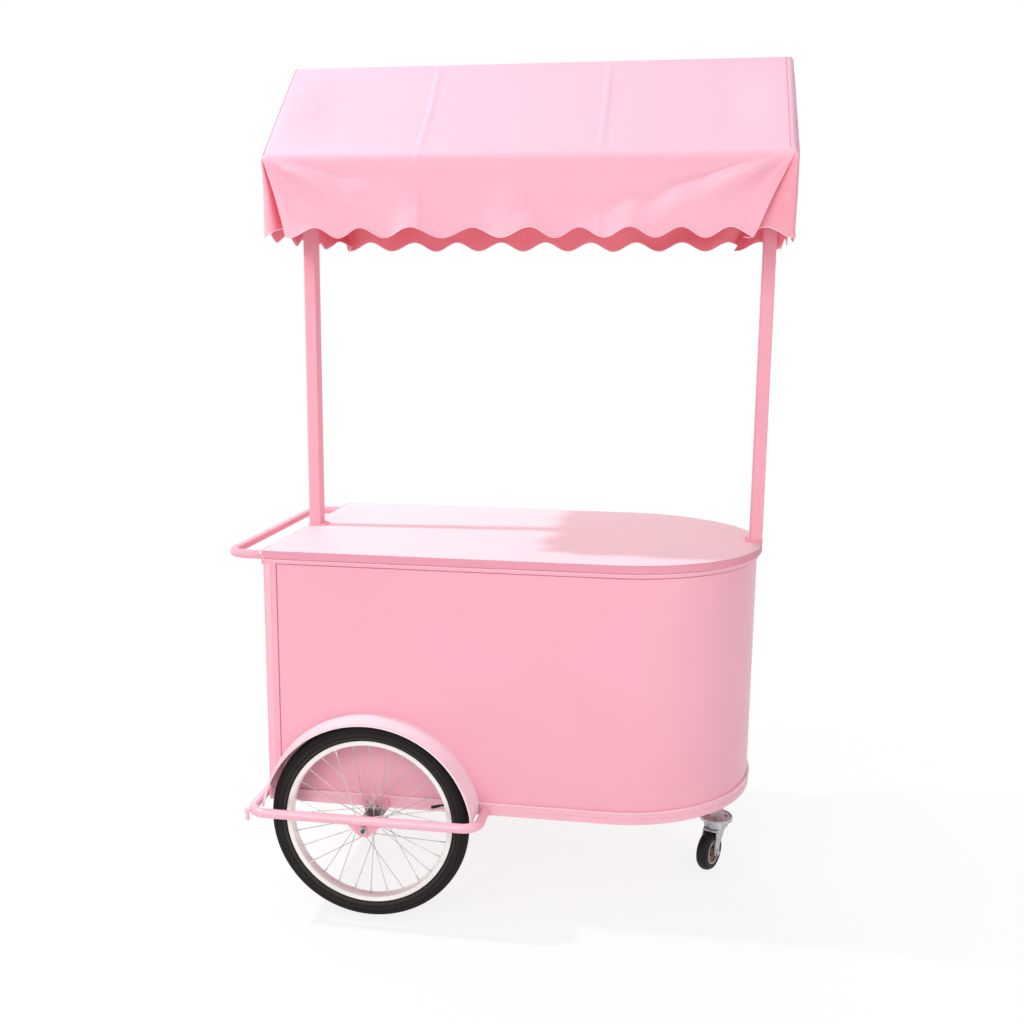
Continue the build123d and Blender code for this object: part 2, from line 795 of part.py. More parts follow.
def caster_fork():
    """Pressed fork: swivel head, crown and two tapering legs."""
    wheel_mid = caster_diameter / 2
    crown_low, crown_high = 102.5, 106.5
    half = caster_wheel_half_width + 1.6
    crown = extrude(RectangleRounded(70, 2 * (half + fork_wall), 14), crown_high - crown_low)
    crown = Pos(5, 0, crown_low) * crown
    head = Pos(0, 0, crown_high) * Cone(31, 28, 17.2, align=(Align.CENTER, Align.CENTER, Align.MIN))
    head = head & Pos(5, 0, crown_low) * Box(70, 2 * (half + fork_wall) + 16, 100)
    rear, front, top = -16.0, 34.0, crown_low + 1
    near, far = (caster_trail - caster_boss, wheel_mid), (caster_trail + caster_boss, wheel_mid)
    lines = [
        Line((rear, top), (front, top)),
        Line((front, top), far),
        ThreePointArc(far, (caster_trail, wheel_mid - caster_boss), near),
        Line(near, (rear, top)),
    ]
    leg_face = Plane((0, -half, 0), x_dir=(1, 0, 0), z_dir=(0, -1, 0)) * make_face(lines)
    leg = extrude(leg_face, fork_wall)
    bore = rod((caster_trail, -60, wheel_mid), (caster_trail, 60, wheel_mid), caster_axle_radius + 0.1)
    fork = crown + head + leg + mirror(leg, about=Plane.XZ)
    return fork - rod((0, 0, 80), (0, 0, 140), kingpin_radius + running_gap) - bore


def caster_axle():
    """Axle bolt of the caster wheel, with a hex head and a nut outside the fork."""
    z = caster_diameter / 2
    face = caster_wheel_half_width + 1.6 + fork_wall
    bolt = rod((caster_trail, -face, z), (caster_trail, face + 7.5, z), caster_axle_radius)
    head = hex_bar((caster_trail, -face, z), (caster_trail, -face - 5, z), 12.0)
    return bolt + head + hex_bar((caster_trail, face, z), (caster_trail, face + 6, z), 12.0)


def at_caster_axle(piece):
    """Move a caster wheel's piece to the fork's axle."""
    return Pos(caster_trail, 0, caster_diameter / 2) * piece


def caster_core():
    """Moulded wheel centre with a hub and a recessed web on each face."""
    half, bore = caster_wheel_half_width, caster_axle_radius + running_gap
    boss = [(bore, half), (11, half), (14, half - 7)]
    web = [(28, half - 7), (31, half - 2), (caster_core_radius, half - 2)]
    side = boss + web
    return about_axle(side + [(r, -y) for r, y in reversed(side)])


def caster_tyre():
    """Solid rubber tread with rounded shoulders."""
    half, radius = caster_wheel_half_width - 1, caster_diameter / 2
    crown = 7.0
    lines = [
        Line((caster_core_radius, -half), (caster_core_radius, half)),
        Line((caster_core_radius, half), (radius - crown, half)),
        ThreePointArc((radius - crown, half), (radius, 0), (radius - crown, -half)),
        Line((radius - crown, -half), (caster_core_radius, -half)),
    ]
    return revolve(make_face(lines), axis=Axis.Y)


def placed_caster(piece, yaw):
    """Put a caster piece under the nose, turned about the swivel axis."""
    return Pos(x(caster_station), 0, 0) * Rot(0, 0, yaw) * piece


# Doors, modelled for the front half of the handle end
def door():
    """Folded door pan over the front half of the opening."""
    back, front = -door_gap, -door_gap - door_thickness
    pan = block(front, back, -door_outer_edge, -door_inner_edge, door_bottom, door_top)
    pan = fillet(pan.faces().sort_by(Axis.X)[0].edges(), 2.0)
    hollow = block(front + sheet, back + 1, -door_outer_edge + sheet, -door_inner_edge - sheet,
                   door_bottom + sheet, door_top - sheet)
    return pan - hollow


def door_knob():
    """Turned pull knob on the door's free edge."""
    face = door_gap + door_thickness
    axis_y = -door_inner_edge - 38
    base = [(0, 0), (9, 0), (9, 2), (5, 4), (5, 11)]
    head = [(12, 16), (12, 21), (9, 24), (0, 24)]
    turned = revolve(make_face(Polyline(*base, *head, close=True)), axis=Axis.Y)
    return Pos(x(-face), axis_y, knob_height) * Rot(0, 0, 90) * turned


def knuckle(z_0, z_1):
    """Short barrel on the hinge line."""
    centre = (x(-hinge_axis_out), -hinge_axis_side)
    return rod((*centre, z_0), (*centre, z_1), knuckle_radius)


def hinge_bore():
    """Clearance for the hinge pins."""
    centre = (x(-hinge_axis_out), -hinge_axis_side)
    return rod((*centre, 0), (*centre, counter_height), pin_radius + running_gap)


def frame_leaf(z):
    """Hinge leaf on the corner trim with the upper and lower knuckles."""
    third = hinge_length / 3
    low, high = z - hinge_length / 2, z + hinge_length / 2
    leaf = block(-2.2, 0, -hinge_axis_side - 24, -hinge_axis_side, low, high)
    middle = block(-20, 1, -hinge_axis_side - 5, 0, low + third - 0.4, high - third + 0.4)
    barrels = knuckle(low, low + third - 0.4) + knuckle(high - third + 0.4, high)
    return leaf - middle + barrels - hinge_bore()


def door_leaf(z):
    """Hinge leaf on the door's edge with the middle knuckle."""
    third = hinge_length / 3
    low, high = z - hinge_length / 2, z + hinge_length / 2
    first, last = low + third, high - third
    edge = -door_outer_edge
    strip = block(-door_gap - 9.5, -door_gap - 0.5, edge - 1.6, edge, first, last)
    return strip + knuckle(first, last) - hinge_bore()


def hinge_pin(z):
    """Pin of one hinge, with a small head."""
    centre = (x(-hinge_axis_out), -hinge_axis_side)
    low, high = z - hinge_length / 2, z + hinge_length / 2
    pin = rod((*centre, low), (*centre, high + 1), pin_radius)
    return pin + rod((*centre, high), (*centre, high + 2), 3.0)


def door_catch():
    """Magnetic catch on the mullion behind the door's free edge."""
    return block(1.0, corner_left, -14, -4, 740, 770)


def end_mullion():
    """Upright behind the meeting edges of the doors, under the post."""
    sides = (corner_left, corner_left + upright_size, -post_width / 2, post_width / 2)
    return square_tube_z(*sides, upright_bottom, upright_top, tube_wall)


def nodes():
    """Every node of the cart by name."""
    made = {}
    made["counter_top"] = counter_top()
    top_band = ring(overhang, panel_inset, counter_bottom - top_band_height, counter_bottom)
    bottom_band = ring(overhang, panel_inset, cabinet_bottom, cabinet_bottom + bottom_band_height)
    made["top_band"] = eased_corners(top_band, overhang)
    made["bottom_band"] = drilled_for_brackets(eased_corners(bottom_band, overhang))
    made["wrap_panel"] = drilled_for_brackets(wrap_panel())
    made["corner_trims"] = group(both_sides(corner_trim()))
    header = end_strip(door_top - 12, counter_bottom)
    sill = end_strip(cabinet_bottom, door_bottom + 12)
    made["end_strips"] = group([header, sill])
    made["end_mullion"] = end_mullion()
    made["top_frame"] = angle_ring(counter_bottom, counter_bottom - angle_height)
    made["bottom_frame"] = drilled_for_brackets(angle_ring(cabinet_bottom, floor_top))
    made["frame_uprights"] = group(frame_uprights())
    made["cross_beams"] = group([cross_beam(wheel_station), cross_beam(caster_station)])
    mullion_sides = (corner_left - 0.5, corner_left + upright_size + 0.5)
    mullion_half = post_width / 2 + 0.5
    mullion_notch = block(*mullion_sides, -mullion_half, mullion_half, 0, counter_height)
    passing = upright_notches(0, counter_height) + [mullion_notch]
    floor = slab(frame_inset, floor_top, floor_top + sheet)
    shelf = slab(frame_inset + angle_wall, shelf_height, shelf_height + sheet)
    for notch in passing:
        floor -= notch
        shelf -= notch
    made["floor_panel"] = floor
    made["shelf"] = shelf
    made["shelf_rails"] = group(both_sides(shelf_rail()))

    made["left_post"] = post(post_stations[0])
    made["right_post"] = post(post_stations[1])
    made["post_feet"] = group(post_feet())
    made["post_foot_screws"] = group([foot_screw(spot) for spot in foot_screw_spots()])
    ridge = long_tube(-roof_tube / 2, ridge_top - roof_tube)
    eave_rails = both_sides(long_tube(-eave_tube_face, tuck_top))
    made["roof_rails"] = group([ridge] + eave_rails)
    rafters = [bar for station in gable_stations() for bar in both_sides(rafter(station))]
    made["gable_bars"] = group(rafters + [tie_tube(station) for station in gable_stations()])
    made["canopy_cover"] = canopy_cover()

    made["push_handle"] = push_handle()
    made["handle_flanges"] = group(handle_flanges())
    made["handle_bolts"] = group([handle_bolt(y, z) for y, z in handle_bolt_spots()])
    made["front_fender"], made["back_fender"] = both_sides(fender())
    made["guard_bar"] = guard_bar()
    made["guard_mounts"] = group(both_sides(guard_side_plate()) + both_sides(guard_standoff()))
    made["guard_lug"] = guard_lug()
    made["outer_axle_hangers"] = group(both_sides(outer_axle_hanger()))
    made["inner_axle_brackets"] = group(both_sides(inner_axle_bracket()))
    bolts = [bracket_bolt(shift) for shift in bracket_bolt_shifts]
    made["bracket_bolts"] = group([bolt for one in bolts for bolt in both_sides(one)])
    made["wheel_axles"] = group(both_sides(wheel_axle()))
    made["axle_nuts"] = group([nut for one in axle_nuts() for nut in both_sides(one)])
    made["caster_leg"] = placed_caster(caster_leg(), 0)
    made["caster_plate"] = placed_caster(caster_plate(), 0)
    made["caster_plate_bolts"] = group([placed_caster(caster_bolt(*spot), 0) for spot in caster_bolt_spots()])
    frame_leaves = [leaf for z in hinge_heights for leaf in both_sides(frame_leaf(z))]
    made["hinge_frame_leaves"] = group(frame_leaves)
    made["hinge_pins"] = group([pin for z in hinge_heights for pin in both_sides(hinge_pin(z))])
    made["door_catches"] = group(both_sides(door_catch()))

    for name, side, turn in (("front", -1, 0.0), ("back", 1, 37.0)):
        made[name + "_tyre"] = placed_wheel(tyre(), side, turn)
        made[name + "_rim"] = placed_wheel(rim(), side, turn)
        made[name + "_spokes"] = group([placed_wheel(spoke, side, turn) for spoke in spokes()])
        made[name + "_hub"] = placed_wheel(hub(), side, turn)
        made[name + "_valve"] = placed_wheel(valve(), side, turn - 16.0)

    made["caster_fork"] = placed_caster(caster_fork(), caster_yaw)
    made["caster_axle"] = placed_caster(caster_axle(), caster_yaw)
    made["caster_core"] = placed_caster(at_caster_axle(caster_core()), caster_yaw)
    made["caster_tyre"] = placed_caster(at_caster_axle(caster_tyre()), caster_yaw)

    leaves = group([door_leaf(z) for z in hinge_heights])
    for node, piece in (("door", door()), ("door_knob", door_knob()), ("door_hinge_leaves", leaves)):
        made["front_" + node] = piece
        made["back_" + node] = mirror(piece, about=Plane.XZ)
    return made


os.makedirs("parts", exist_ok=True)
for node_name, shape in nodes().items():
    export_step(shape, f"parts/{node_name}.step")
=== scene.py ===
import math

import bmesh
import bpy
from mathutils import Matrix, Vector, noise


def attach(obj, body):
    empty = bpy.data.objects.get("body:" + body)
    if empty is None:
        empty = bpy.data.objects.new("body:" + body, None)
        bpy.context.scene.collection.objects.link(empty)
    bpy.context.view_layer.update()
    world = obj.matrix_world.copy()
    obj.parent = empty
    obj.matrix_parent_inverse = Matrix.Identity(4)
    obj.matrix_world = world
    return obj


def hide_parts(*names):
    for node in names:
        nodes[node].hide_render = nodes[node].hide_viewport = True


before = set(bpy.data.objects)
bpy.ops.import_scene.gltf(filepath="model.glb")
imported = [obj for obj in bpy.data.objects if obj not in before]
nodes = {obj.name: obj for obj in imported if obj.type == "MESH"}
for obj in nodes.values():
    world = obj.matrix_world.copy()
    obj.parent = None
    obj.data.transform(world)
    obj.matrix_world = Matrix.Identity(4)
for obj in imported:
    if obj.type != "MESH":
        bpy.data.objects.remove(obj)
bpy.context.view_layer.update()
scene = bpy.context.scene

# Sizes in metres. Stations run along the counter from its handle end
mid_station = 0.53675
half_depth = 0.346
overhang = 0.008
nose_station = 0.816
counter_z = 0.862
band_face = half_depth - overhang
panel_face = band_face - 0.0035
top_band_low = 0.831
top_band_top = 0.844
bottom_band_low = 0.246
bottom_band_top = 0.277
bottom_seam = 0.2600
trim_width = 0.030
trim_seam = 0.0177
canopy_start = -0.014
canopy_end = 1.179
canopy_half = 0.242
eave_z = 1.762
ridge_z = 2.0
hem_z = 1.585
drop = eave_z - hem_z
wheel_station = 0.265
wheel_plane = 0.390
wheel_z = 0.237
fender_station = 0.263
fender_z = 0.228
fender_radius = 0.2535
fender_edge = 0.420
fender_foot = 0.264
guard_z = 0.257
guard_rear = -0.014
guard_front = 0.530
caster_station = 1.080
caster_trail = 0.036
caster_yaw = math.radians(243.0)
caster_z = 0.050


def x_at(station):
    """X of a station along the counter."""
    return station - mid_station


# Camera at the photograph's viewing angle
camera_place = Vector((0.41215, -2.7358, 1.3951))
camera_yaw = 0.1499
camera_pitch = 0.1726
camera_roll = 0.0094
camera_data = bpy.data.cameras.new("photo_camera")
camera_data.sensor_fit = "HORIZONTAL"
camera_data.sensor_width = 36.0
camera_data.lens = 38.72
camera_data.clip_start = 0.05
camera = bpy.data.objects.new("photo_camera", camera_data)
scene.collection.objects.link(camera)
tilt = Matrix.Rotation(math.pi / 2 - camera_pitch, 4, "X") @ Matrix.Rotation(camera_roll, 4, "Z")
camera.matrix_world = Matrix.Translation(camera_place) @ Matrix.Rotation(camera_yaw, 4, "Z") @ tilt
scene.camera = camera


# Finishes
class Signal:
    """One socket of a finish. Sums on it add Math nodes."""

    def __init__(self, finish, socket):
        self.finish = finish
        self.socket = socket

    def work(self, operation, first, second):
        return self.finish.node("ShaderNodeMath", {"operation": operation}, {0: first, 1: second})

    def __add__(self, other):
        return self.work("ADD", self, other)

    __radd__ = __add__

    def __sub__(self, other):
        return self.work("SUBTRACT", self, other)

    def __rsub__(self, other):
        return self.work("SUBTRACT", other, self)

    def __mul__(self, other):
        return self.work("MULTIPLY", self, other)

    def __truediv__(self, other):
        return self.work("DIVIDE", self, other)

    def __pow__(self, other):
        return self.work("POWER", self, other)

    def alone(self, operation):
        return self.work(operation, self, 0.0)

    def at_most(self, other):
        return self.work("MINIMUM", self, other)

    def at_least(self, other):
        return self.work("MAXIMUM", self, other)


class Finish:
    """A material with its shader, and the one way its nodes are added."""

    def __init__(self, name, **constants):
        self.material = bpy.data.materials.new(name)
        self.material.use_nodes = True
        self.tree = self.material.node_tree
        self.shader = self.tree.nodes["Principled BSDF"]
        for socket, value in constants.items():
            self.shader.inputs[socket.replace("_", " ")].default_value = value

    def node(self, kind, settings=None, inputs=None, output=0):
        """Add a node, set it up and feed its inputs."""
        made = self.tree.nodes.new(kind)
        for key, value in (settings or {}).items():
            if key == "stops":
                while len(made.color_ramp.elements) < len(value):
                    made.color_ramp.elements.new(1.0)
                for element, (spot, shade) in zip(made.color_ramp.elements, value):
                    element.position = spot
                    element.color = (shade, shade, shade, 1.0)
            else:
                setattr(made, key, value)
        for key, value in (inputs or {}).items():
            self.feed(made.inputs[key], value)
        return Signal(self, made.outputs[output])

    def feed(self, socket, value):
        """Link a signal to a socket, or set a constant on it."""
        if isinstance(value, Signal):
            self.tree.links.new(value.socket, socket)
        else:
            socket.default_value = value

    def out(self, **signals):
        """Feed the shader's own sockets."""
        for socket, value in signals.items():
            self.feed(self.shader.inputs[socket.replace("_", " ")], value)
        return self

    def place(self, scale=(1, 1, 1), move=(0, 0, 0)):
        spot = self.node("ShaderNodeTexCoord", output="Object")
        return self.node("ShaderNodeMapping", inputs={"Vector": spot, "Scale": scale, "Location": move})

    def grain(self, where, scale, detail=2.0):
        return self.node("ShaderNodeTexNoise", inputs={"Vector": where, "Scale": scale, "Detail": detail},
                         output="Fac")

    def stripes(self, where, direction, scale):
        return self.node("ShaderNodeTexWave", {"bands_direction": direction},
                         {"Vector": where, "Scale": scale}, "Fac")

    def ramp(self, value, *stops):
        return self.node("ShaderNodeValToRGB", {"stops": stops}, {"Fac": value})

    def tint(self, amount, first, second):
        return self.node("ShaderNodeMix", {"data_type": "RGBA"}, {0: amount, 6: first, 7: second}, 2)

    def parts(self, vector, axis):
        return self.node("ShaderNodeSeparateXYZ", inputs={"Vector": vector}, output=axis)

    def bump(self, height, distance, strength=1.0, below=None):
        inputs = {"Height": height, "Distance": distance, "Strength": strength}
        if below:
            inputs["Normal"] = below
        return self.node("ShaderNodeBump", inputs=inputs)


def srgb(red, green, blue):
    """A linear colour from its screen values of 0 to 255."""
    def linear(level):
        share = level / 255
        return share / 12.92 if share <= 0.04045 else ((share + 0.055) / 1.055) ** 2.4
    return (linear(red), linear(green), linear(blue), 1.0)


def paint_finish(name, colour, shade, roughness, wave, coat=0.30, peel=0.1, shine=0.35):
    """Paint on steel: orange peel, faint waves of the sheet, and dust low down."""
    dusty_below = 0.42
    finish = Finish(name, Coat_Roughness=0.12, Specular_IOR_Level=shine)
    where = finish.place()
    broad = finish.grain(where, 2.2)
    cloudy = finish.grain(where, 26.0, 4.0)
    pores = finish.grain(where, 620.0, 1.0)
    height = finish.parts(where, "Z")
    low_down = (1 - height / dusty_below).at_least(0.0).at_most(1.0)
    dust = (low_down * finish.ramp(cloudy, (0.42, 0.0), (0.75, 1.0))) * 0.12
    flow = finish.tint(finish.ramp(broad, (0.3, 0.0), (0.7, 1.0)), colour, shade)
    dusty = finish.tint(dust, flow, srgb(196, 160, 158))
    waves = finish.bump(finish.grain(finish.place((1, 1, 0.45)), 3.2, 1.0), wave)
    normal = finish.bump(pores, 0.00005, peel, waves)
    return finish.out(Base_Color=dusty, Roughness=roughness + cloudy * 0.08 + dust * 0.5,
                      Coat_Weight=coat - dust, Normal=normal)


def counter_finish():
    """Painted counter with fine rubbing marks from use, and painted shade on its edge face, which is
    painted darker than the top.
    """
    edge_ease = 0.003
    finish = Finish("counter_paint", Specular_IOR_Level=0.04)
    where = finish.place()
    broad = finish.grain(where, 3.0)
    rubbed = finish.grain(finish.place((1.0, 14.0, 1.0)), 22.0, 5.0)
    crossed = finish.grain(finish.place((11.0, 1.6, 1.0)), 18.0, 5.0)
    marks = finish.ramp(rubbed.at_least(crossed), (0.58, 0.0), (0.72, 1.0))
    base = finish.tint(broad, srgb(255, 216, 225), srgb(254, 211, 221))
    marked = finish.tint(marks * 0.10, base, srgb(255, 236, 240))
    depth = counter_z - finish.parts(where, "Z")
    # Painted shade: the edge face is tinted darker than the top.
    edge_shade_mask = finish.ramp(depth / edge_ease, (0.30, 0.0), (0.55, 1.0))
    edge_shaded = finish.tint(edge_shade_mask, marked, srgb(237, 161, 179))
    normal = finish.bump(finish.grain(where, 600.0, 1.0), 0.00012, 0.5)
    return finish.out(Base_Color=edge_shaded, Roughness=0.52 + marks * 0.10, Normal=normal)


def cloth_finish(name, colour, shade, roof, sheen):
    """Coated awning cloth: fine weave, a stitched hem, a paler, pinker roof, and painted shade in deep red
    where the tucks fold in.
    """
    stitch_level, stitch_half_width, stitch_pitch = 0.011, 0.0011, 0.0042
    finish = Finish(name, Sheen_Weight=sheen, Sheen_Roughness=0.5, Sheen_Tint=srgb(255, 225, 238))
    flat = finish.node("ShaderNodeUVMap", {"uv_map": "flat"})
    above = finish.node("ShaderNodeAttribute", {"attribute_name": "above_hem"}, output="Fac")
    tucked = finish.node("ShaderNodeAttribute", {"attribute_name": "tucked"}, output="Fac")
    along = finish.parts(flat, "X")
    warp, weft = finish.stripes(flat, "X", 260.0), finish.stripes(flat, "Y", 260.0)
    cloudy = finish.grain(flat, 9.0, 3.0)
    broad = finish.grain(flat, 2.4, 2.0)
    row = 1 - ((above - stitch_level) / stitch_half_width).alone("ABSOLUTE")
    dash = finish.ramp((along / stitch_pitch).alone("FRACT"), (0.10, 1.0), (0.66, 1.0), (0.70, 0.0))
    stitch = row.at_least(0.0) * dash
    side = finish.tint(broad * 0.6 + cloudy * 0.4, colour, shade)
    # Paler, pinker cloth on the roof slopes above the eave.
    roof_toned = finish.tint(finish.ramp(above / drop, (0.88, 0.0), (0.99, 1.0)), side, roof)
    # Painted shade: the tucks are tinted deep red.
    base = finish.tint(tucked, roof_toned, tuck_shade_pink)
    sewn = finish.tint(stitch * 0.55, base, srgb(255, 226, 234))
    weave = finish.bump(warp * weft, 0.00025, 0.35)
    crumple = finish.bump(finish.grain(flat, 34.0, 3.0), 0.0007, 0.5, weave)
    normal = finish.bump(stitch, 0.0008, 0.8, crumple)
    return finish.out(Base_Color=sewn, Roughness=0.50 + cloudy * 0.12, Normal=normal)


def tyre_finish(name, side):
    """Black road rubber with fine tread ribs, a dusty crown and paler rings on its wall, partly wear and
    partly painted sheen.
    """
    wall_start, wall_height = 0.200, 0.037
    crown_start, crown_height = 0.222, 0.014
    finish = Finish(name, Specular_IOR_Level=0.13)
    where = finish.place(move=(-x_at(wheel_station), -side * wheel_plane, -wheel_z))
    across = finish.parts(where, "Y")
    run, rise = finish.parts(where, "X"), finish.parts(where, "Z")
    angle = rise.work("ARCTAN2", rise, run)
    radius = (run * run + rise * rise) ** 0.5
    crown = finish.ramp((radius - crown_start) / crown_height, (0.0, 0.0), (0.6, 1.0))
    slant = angle * 110.0 + across.alone("ABSOLUTE") * 420.0
    blocks = finish.ramp(slant.alone("SINE") * 0.5 + 0.5, (0.18, 0.0), (0.4, 1.0))
    ribs = finish.ramp((across * 620.0).alone("COSINE") * 0.5 + 0.5, (0.1, 0.0), (0.35, 1.0))
    rings = (radius * 2600.0).alone("SINE") * (1 - crown)
    cloudy = finish.grain(where, 60.0, 4.0)
    dust = crown * cloudy * 0.16
    up_wall = (radius - wall_start) / wall_height
    # Paler rings on the wall: partly real wear and partly painted sheen.
    pale_rings_and_sheen = finish.ramp(up_wall, (0.02, 0.1), (0.08, 0.85), (0.21, 0.60), (0.26, 0.10), (0.32, 0.40),
                             (0.52, 0.36), (0.60, 0.08), (0.67, 0.30), (0.74, 0.06), (1.0, 0.0))
    wall = finish.tint(pale_rings_and_sheen * (0.75 + cloudy * 0.5), srgb(8, 7, 7), srgb(66, 62, 59))
    colour = finish.tint(dust, wall, srgb(104, 98, 94))
    tread = finish.bump(blocks * ribs * crown, 0.0014, 0.8)
    fine = finish.bump(rings, 0.0001, 0.6, tread)
    normal = finish.bump(finish.grain(where, 900.0, 1.0), 0.00015, 0.5, fine)
    return finish.out(Base_Color=colour, Roughness=0.58 + cloudy * 0.2, Normal=normal)


def rubber_finish(name, colour):
    """Moulded rubber or plastic with a fine grain."""
    finish = Finish(name, Specular_IOR_Level=0.25)
    where = finish.place()
    cloudy = finish.grain(where, 70.0, 4.0)
    base = finish.tint(finish.ramp(cloudy, (0.45, 0.0), (0.8, 1.0)) * 0.15, colour, srgb(110, 102, 96))
    normal = finish.bump(finish.grain(where, 1100.0, 1.0), 0.00012, 0.5)
    return finish.out(Base_Color=base, Roughness=0.52 + cloudy * 0.18, Normal=normal)


def metal_finish(name, colour, shade, roughness, stretch, grain_scale, metallic=1.0):
    """Bare or plated metal with drawn grain, light stains and uneven polish."""
    finish = Finish(name, Metallic=metallic)
    where = finish.place()
    drawn = finish.grain(finish.place(stretch), grain_scale, 3.0)
    cloudy = finish.grain(where, 42.0, 5.0)
    stain = finish.ramp(cloudy, (0.46, 0.0), (0.74, 1.0))
    base = finish.tint(stain, colour, shade)
    normal = finish.bump(drawn, 0.00008, 0.5)
    return finish.out(Base_Color=base, Roughness=roughness + drawn * 0.10 + stain * 0.10, Normal=normal)


def zinc_finish():
    """Zinc plating with its faint crystal patches."""
    finish = Finish("zinc_plate", Metallic=1.0)
    where = finish.place()
    patches = finish.node("ShaderNodeTexVoronoi", {}, {"Vector": where, "Scale": 210.0}, "Color")
    patch = finish.parts(patches, "X")
    cloudy = finish.grain(where, 60.0, 5.0)
    base = finish.tint(patch * 0.5 + cloudy * 0.5, srgb(206, 206, 208), srgb(150, 150, 156))
    normal = finish.bump(cloudy, 0.0002, 0.4)
    return finish.out(Base_Color=base, Roughness=0.30 + patch * 0.14 + cloudy * 0.12, Normal=normal)


def hard_plastic_finish(name, colour, shade):
    """Moulded hard plastic with a soft gloss."""
    finish = Finish(name, Coat_Roughness=0.2)
    where = finish.place()
    cloudy = finish.grain(where, 48.0, 4.0)
    base = finish.tint(cloudy, colour, shade)
    normal = finish.bump(finish.grain(where, 800.0, 1.0), 0.0001, 0.5)
    return finish.out(Base_Color=base, Roughness=0.34 + cloudy * 0.2, Coat_Weight=0.2 + cloudy * 0.1,
                      Normal=normal)


sheet_paint = paint_finish("panel_paint", srgb(248, 180, 196), srgb(246, 173, 190), 0.34, 0.0016,
                           coat=0.14, peel=0.5)
tube_paint = paint_finish("tube_paint", srgb(248, 179, 193), srgb(245, 171, 186), 0.34, 0.0,
                          coat=0.03, peel=0.0, shine=0.08)
# Paler paint on the bottom band and its cover strips: painted light bounced up from the ground.
band_bounce_light_paint = paint_finish("band_bounce_light_paint", srgb(250, 191, 205), srgb(248, 184, 199), 0.30, 0.0004,
                          coat=0.14, peel=0.3)
inside_paint = paint_finish("inside_paint", srgb(243, 168, 185), srgb(238, 158, 176), 0.34, 0.0006)
counter_paint = counter_finish()
cloth_pink = srgb(250, 184, 202)
# Deep red painted shade for the insides of the tucks.
tuck_shade_pink = srgb(238, 96, 117)
# Deeper, redder pink for the cloth's inside face: painted shade and painted light shining through the
# cloth.
inside_shade_and_glow = srgb(254, 152, 165)
cloth_outside = cloth_finish("canopy_cloth", cloth_pink, srgb(248, 178, 195), srgb(251, 200, 220), 0.08)
# Inside face of the same cloth, painted deeper and redder than the outside: painted shade and painted light
# through the cloth.
cloth_inside = cloth_finish("canopy_inside_shade_and_glow", inside_shade_and_glow, srgb(252, 143, 157), inside_shade_and_glow, 0.08)
binding_cloth = cloth_finish("hem_binding", srgb(252, 206, 222), srgb(250, 196, 212), cloth_pink, 0.15)
seam_cloth = cloth_finish("seam_cloth", srgb(236, 160, 180), srgb(230, 152, 172), srgb(232, 158, 180), 0.08)
rim_alloy = metal_finish("rim_alloy", srgb(246, 241, 238), srgb(238, 232, 229), 0.24, (1, 30, 1), 40.0,
                         metallic=0.35)
spoke_steel = metal_finish("spoke_steel", srgb(202, 200, 200), srgb(176, 174, 174), 0.24, (1, 1, 1), 300.0)
hub_steel = metal_finish("hub_steel", srgb(118, 116, 115), srgb(66, 63, 61), 0.28, (1, 40, 1), 60.0)
bright_steel = metal_finish("bright_steel", srgb(208, 208, 210), srgb(172, 170, 168), 0.24, (1, 1, 20),
                            90.0)
# Greyish paint for the line along the counter's top edge: painted reflection.
edge_reflection_paint = paint_finish("edge_reflection_paint", srgb(222, 180, 190), srgb(214, 172, 183), 0.30, 0.0)
# Dark pink for the fine lines under the top band and beside the trims: painted shadow.
seam_shade = paint_finish("seam_shade", srgb(204, 126, 142), srgb(194, 116, 132), 0.45, 0.0)
# Paler paint for the beads: a painted highlight along them.
bead_highlight_paint = paint_finish("bead_highlight_paint", srgb(252, 208, 220), srgb(250, 200, 213), 0.22, 0.0)
# Near-white fender paint: painted light on the fenders' upward faces; the real paint is the panels' pink.
fender_lit_paint = paint_finish("fender_lit_paint", srgb(255, 241, 246), srgb(253, 234, 241), 0.20, 0.0006)
# Guard paint paler than the tubes: painted light on the guard bar.
guard_lit_paint = paint_finish("guard_lit_paint", srgb(249, 190, 206), srgb(247, 183, 199), 0.22, 0.0002)
leg_paint = paint_finish("leg_paint", srgb(222, 198, 201), srgb(206, 182, 186), 0.34, 0.0002)
rivet_paint = paint_finish("rivet_paint", srgb(250, 186, 202), srgb(247, 178, 194), 0.22, 0.0)
zinc = zinc_finish()
valve_black = rubber_finish("valve_black", srgb(26, 26, 28))
caster_black = rubber_finish("caster_rubber", srgb(15, 14, 14))
caster_brown = hard_plastic_finish("caster_core", srgb(118, 58, 40), srgb(92, 44, 32))
catch_plastic = hard_plastic_finish("catch_plastic", srgb(226, 222, 214), srgb(208, 202, 194))
tyre_rubbers = {"front": tyre_finish("front_tyre_rubber", -1), "back": tyre_finish("back_tyre_rubber", 1)}


def dress(finish, *names):
    """Give CAD nodes a finish."""
    for name in names:
        slots = nodes[name].data.materials
        slots.clear()
        slots.append(finish.material)


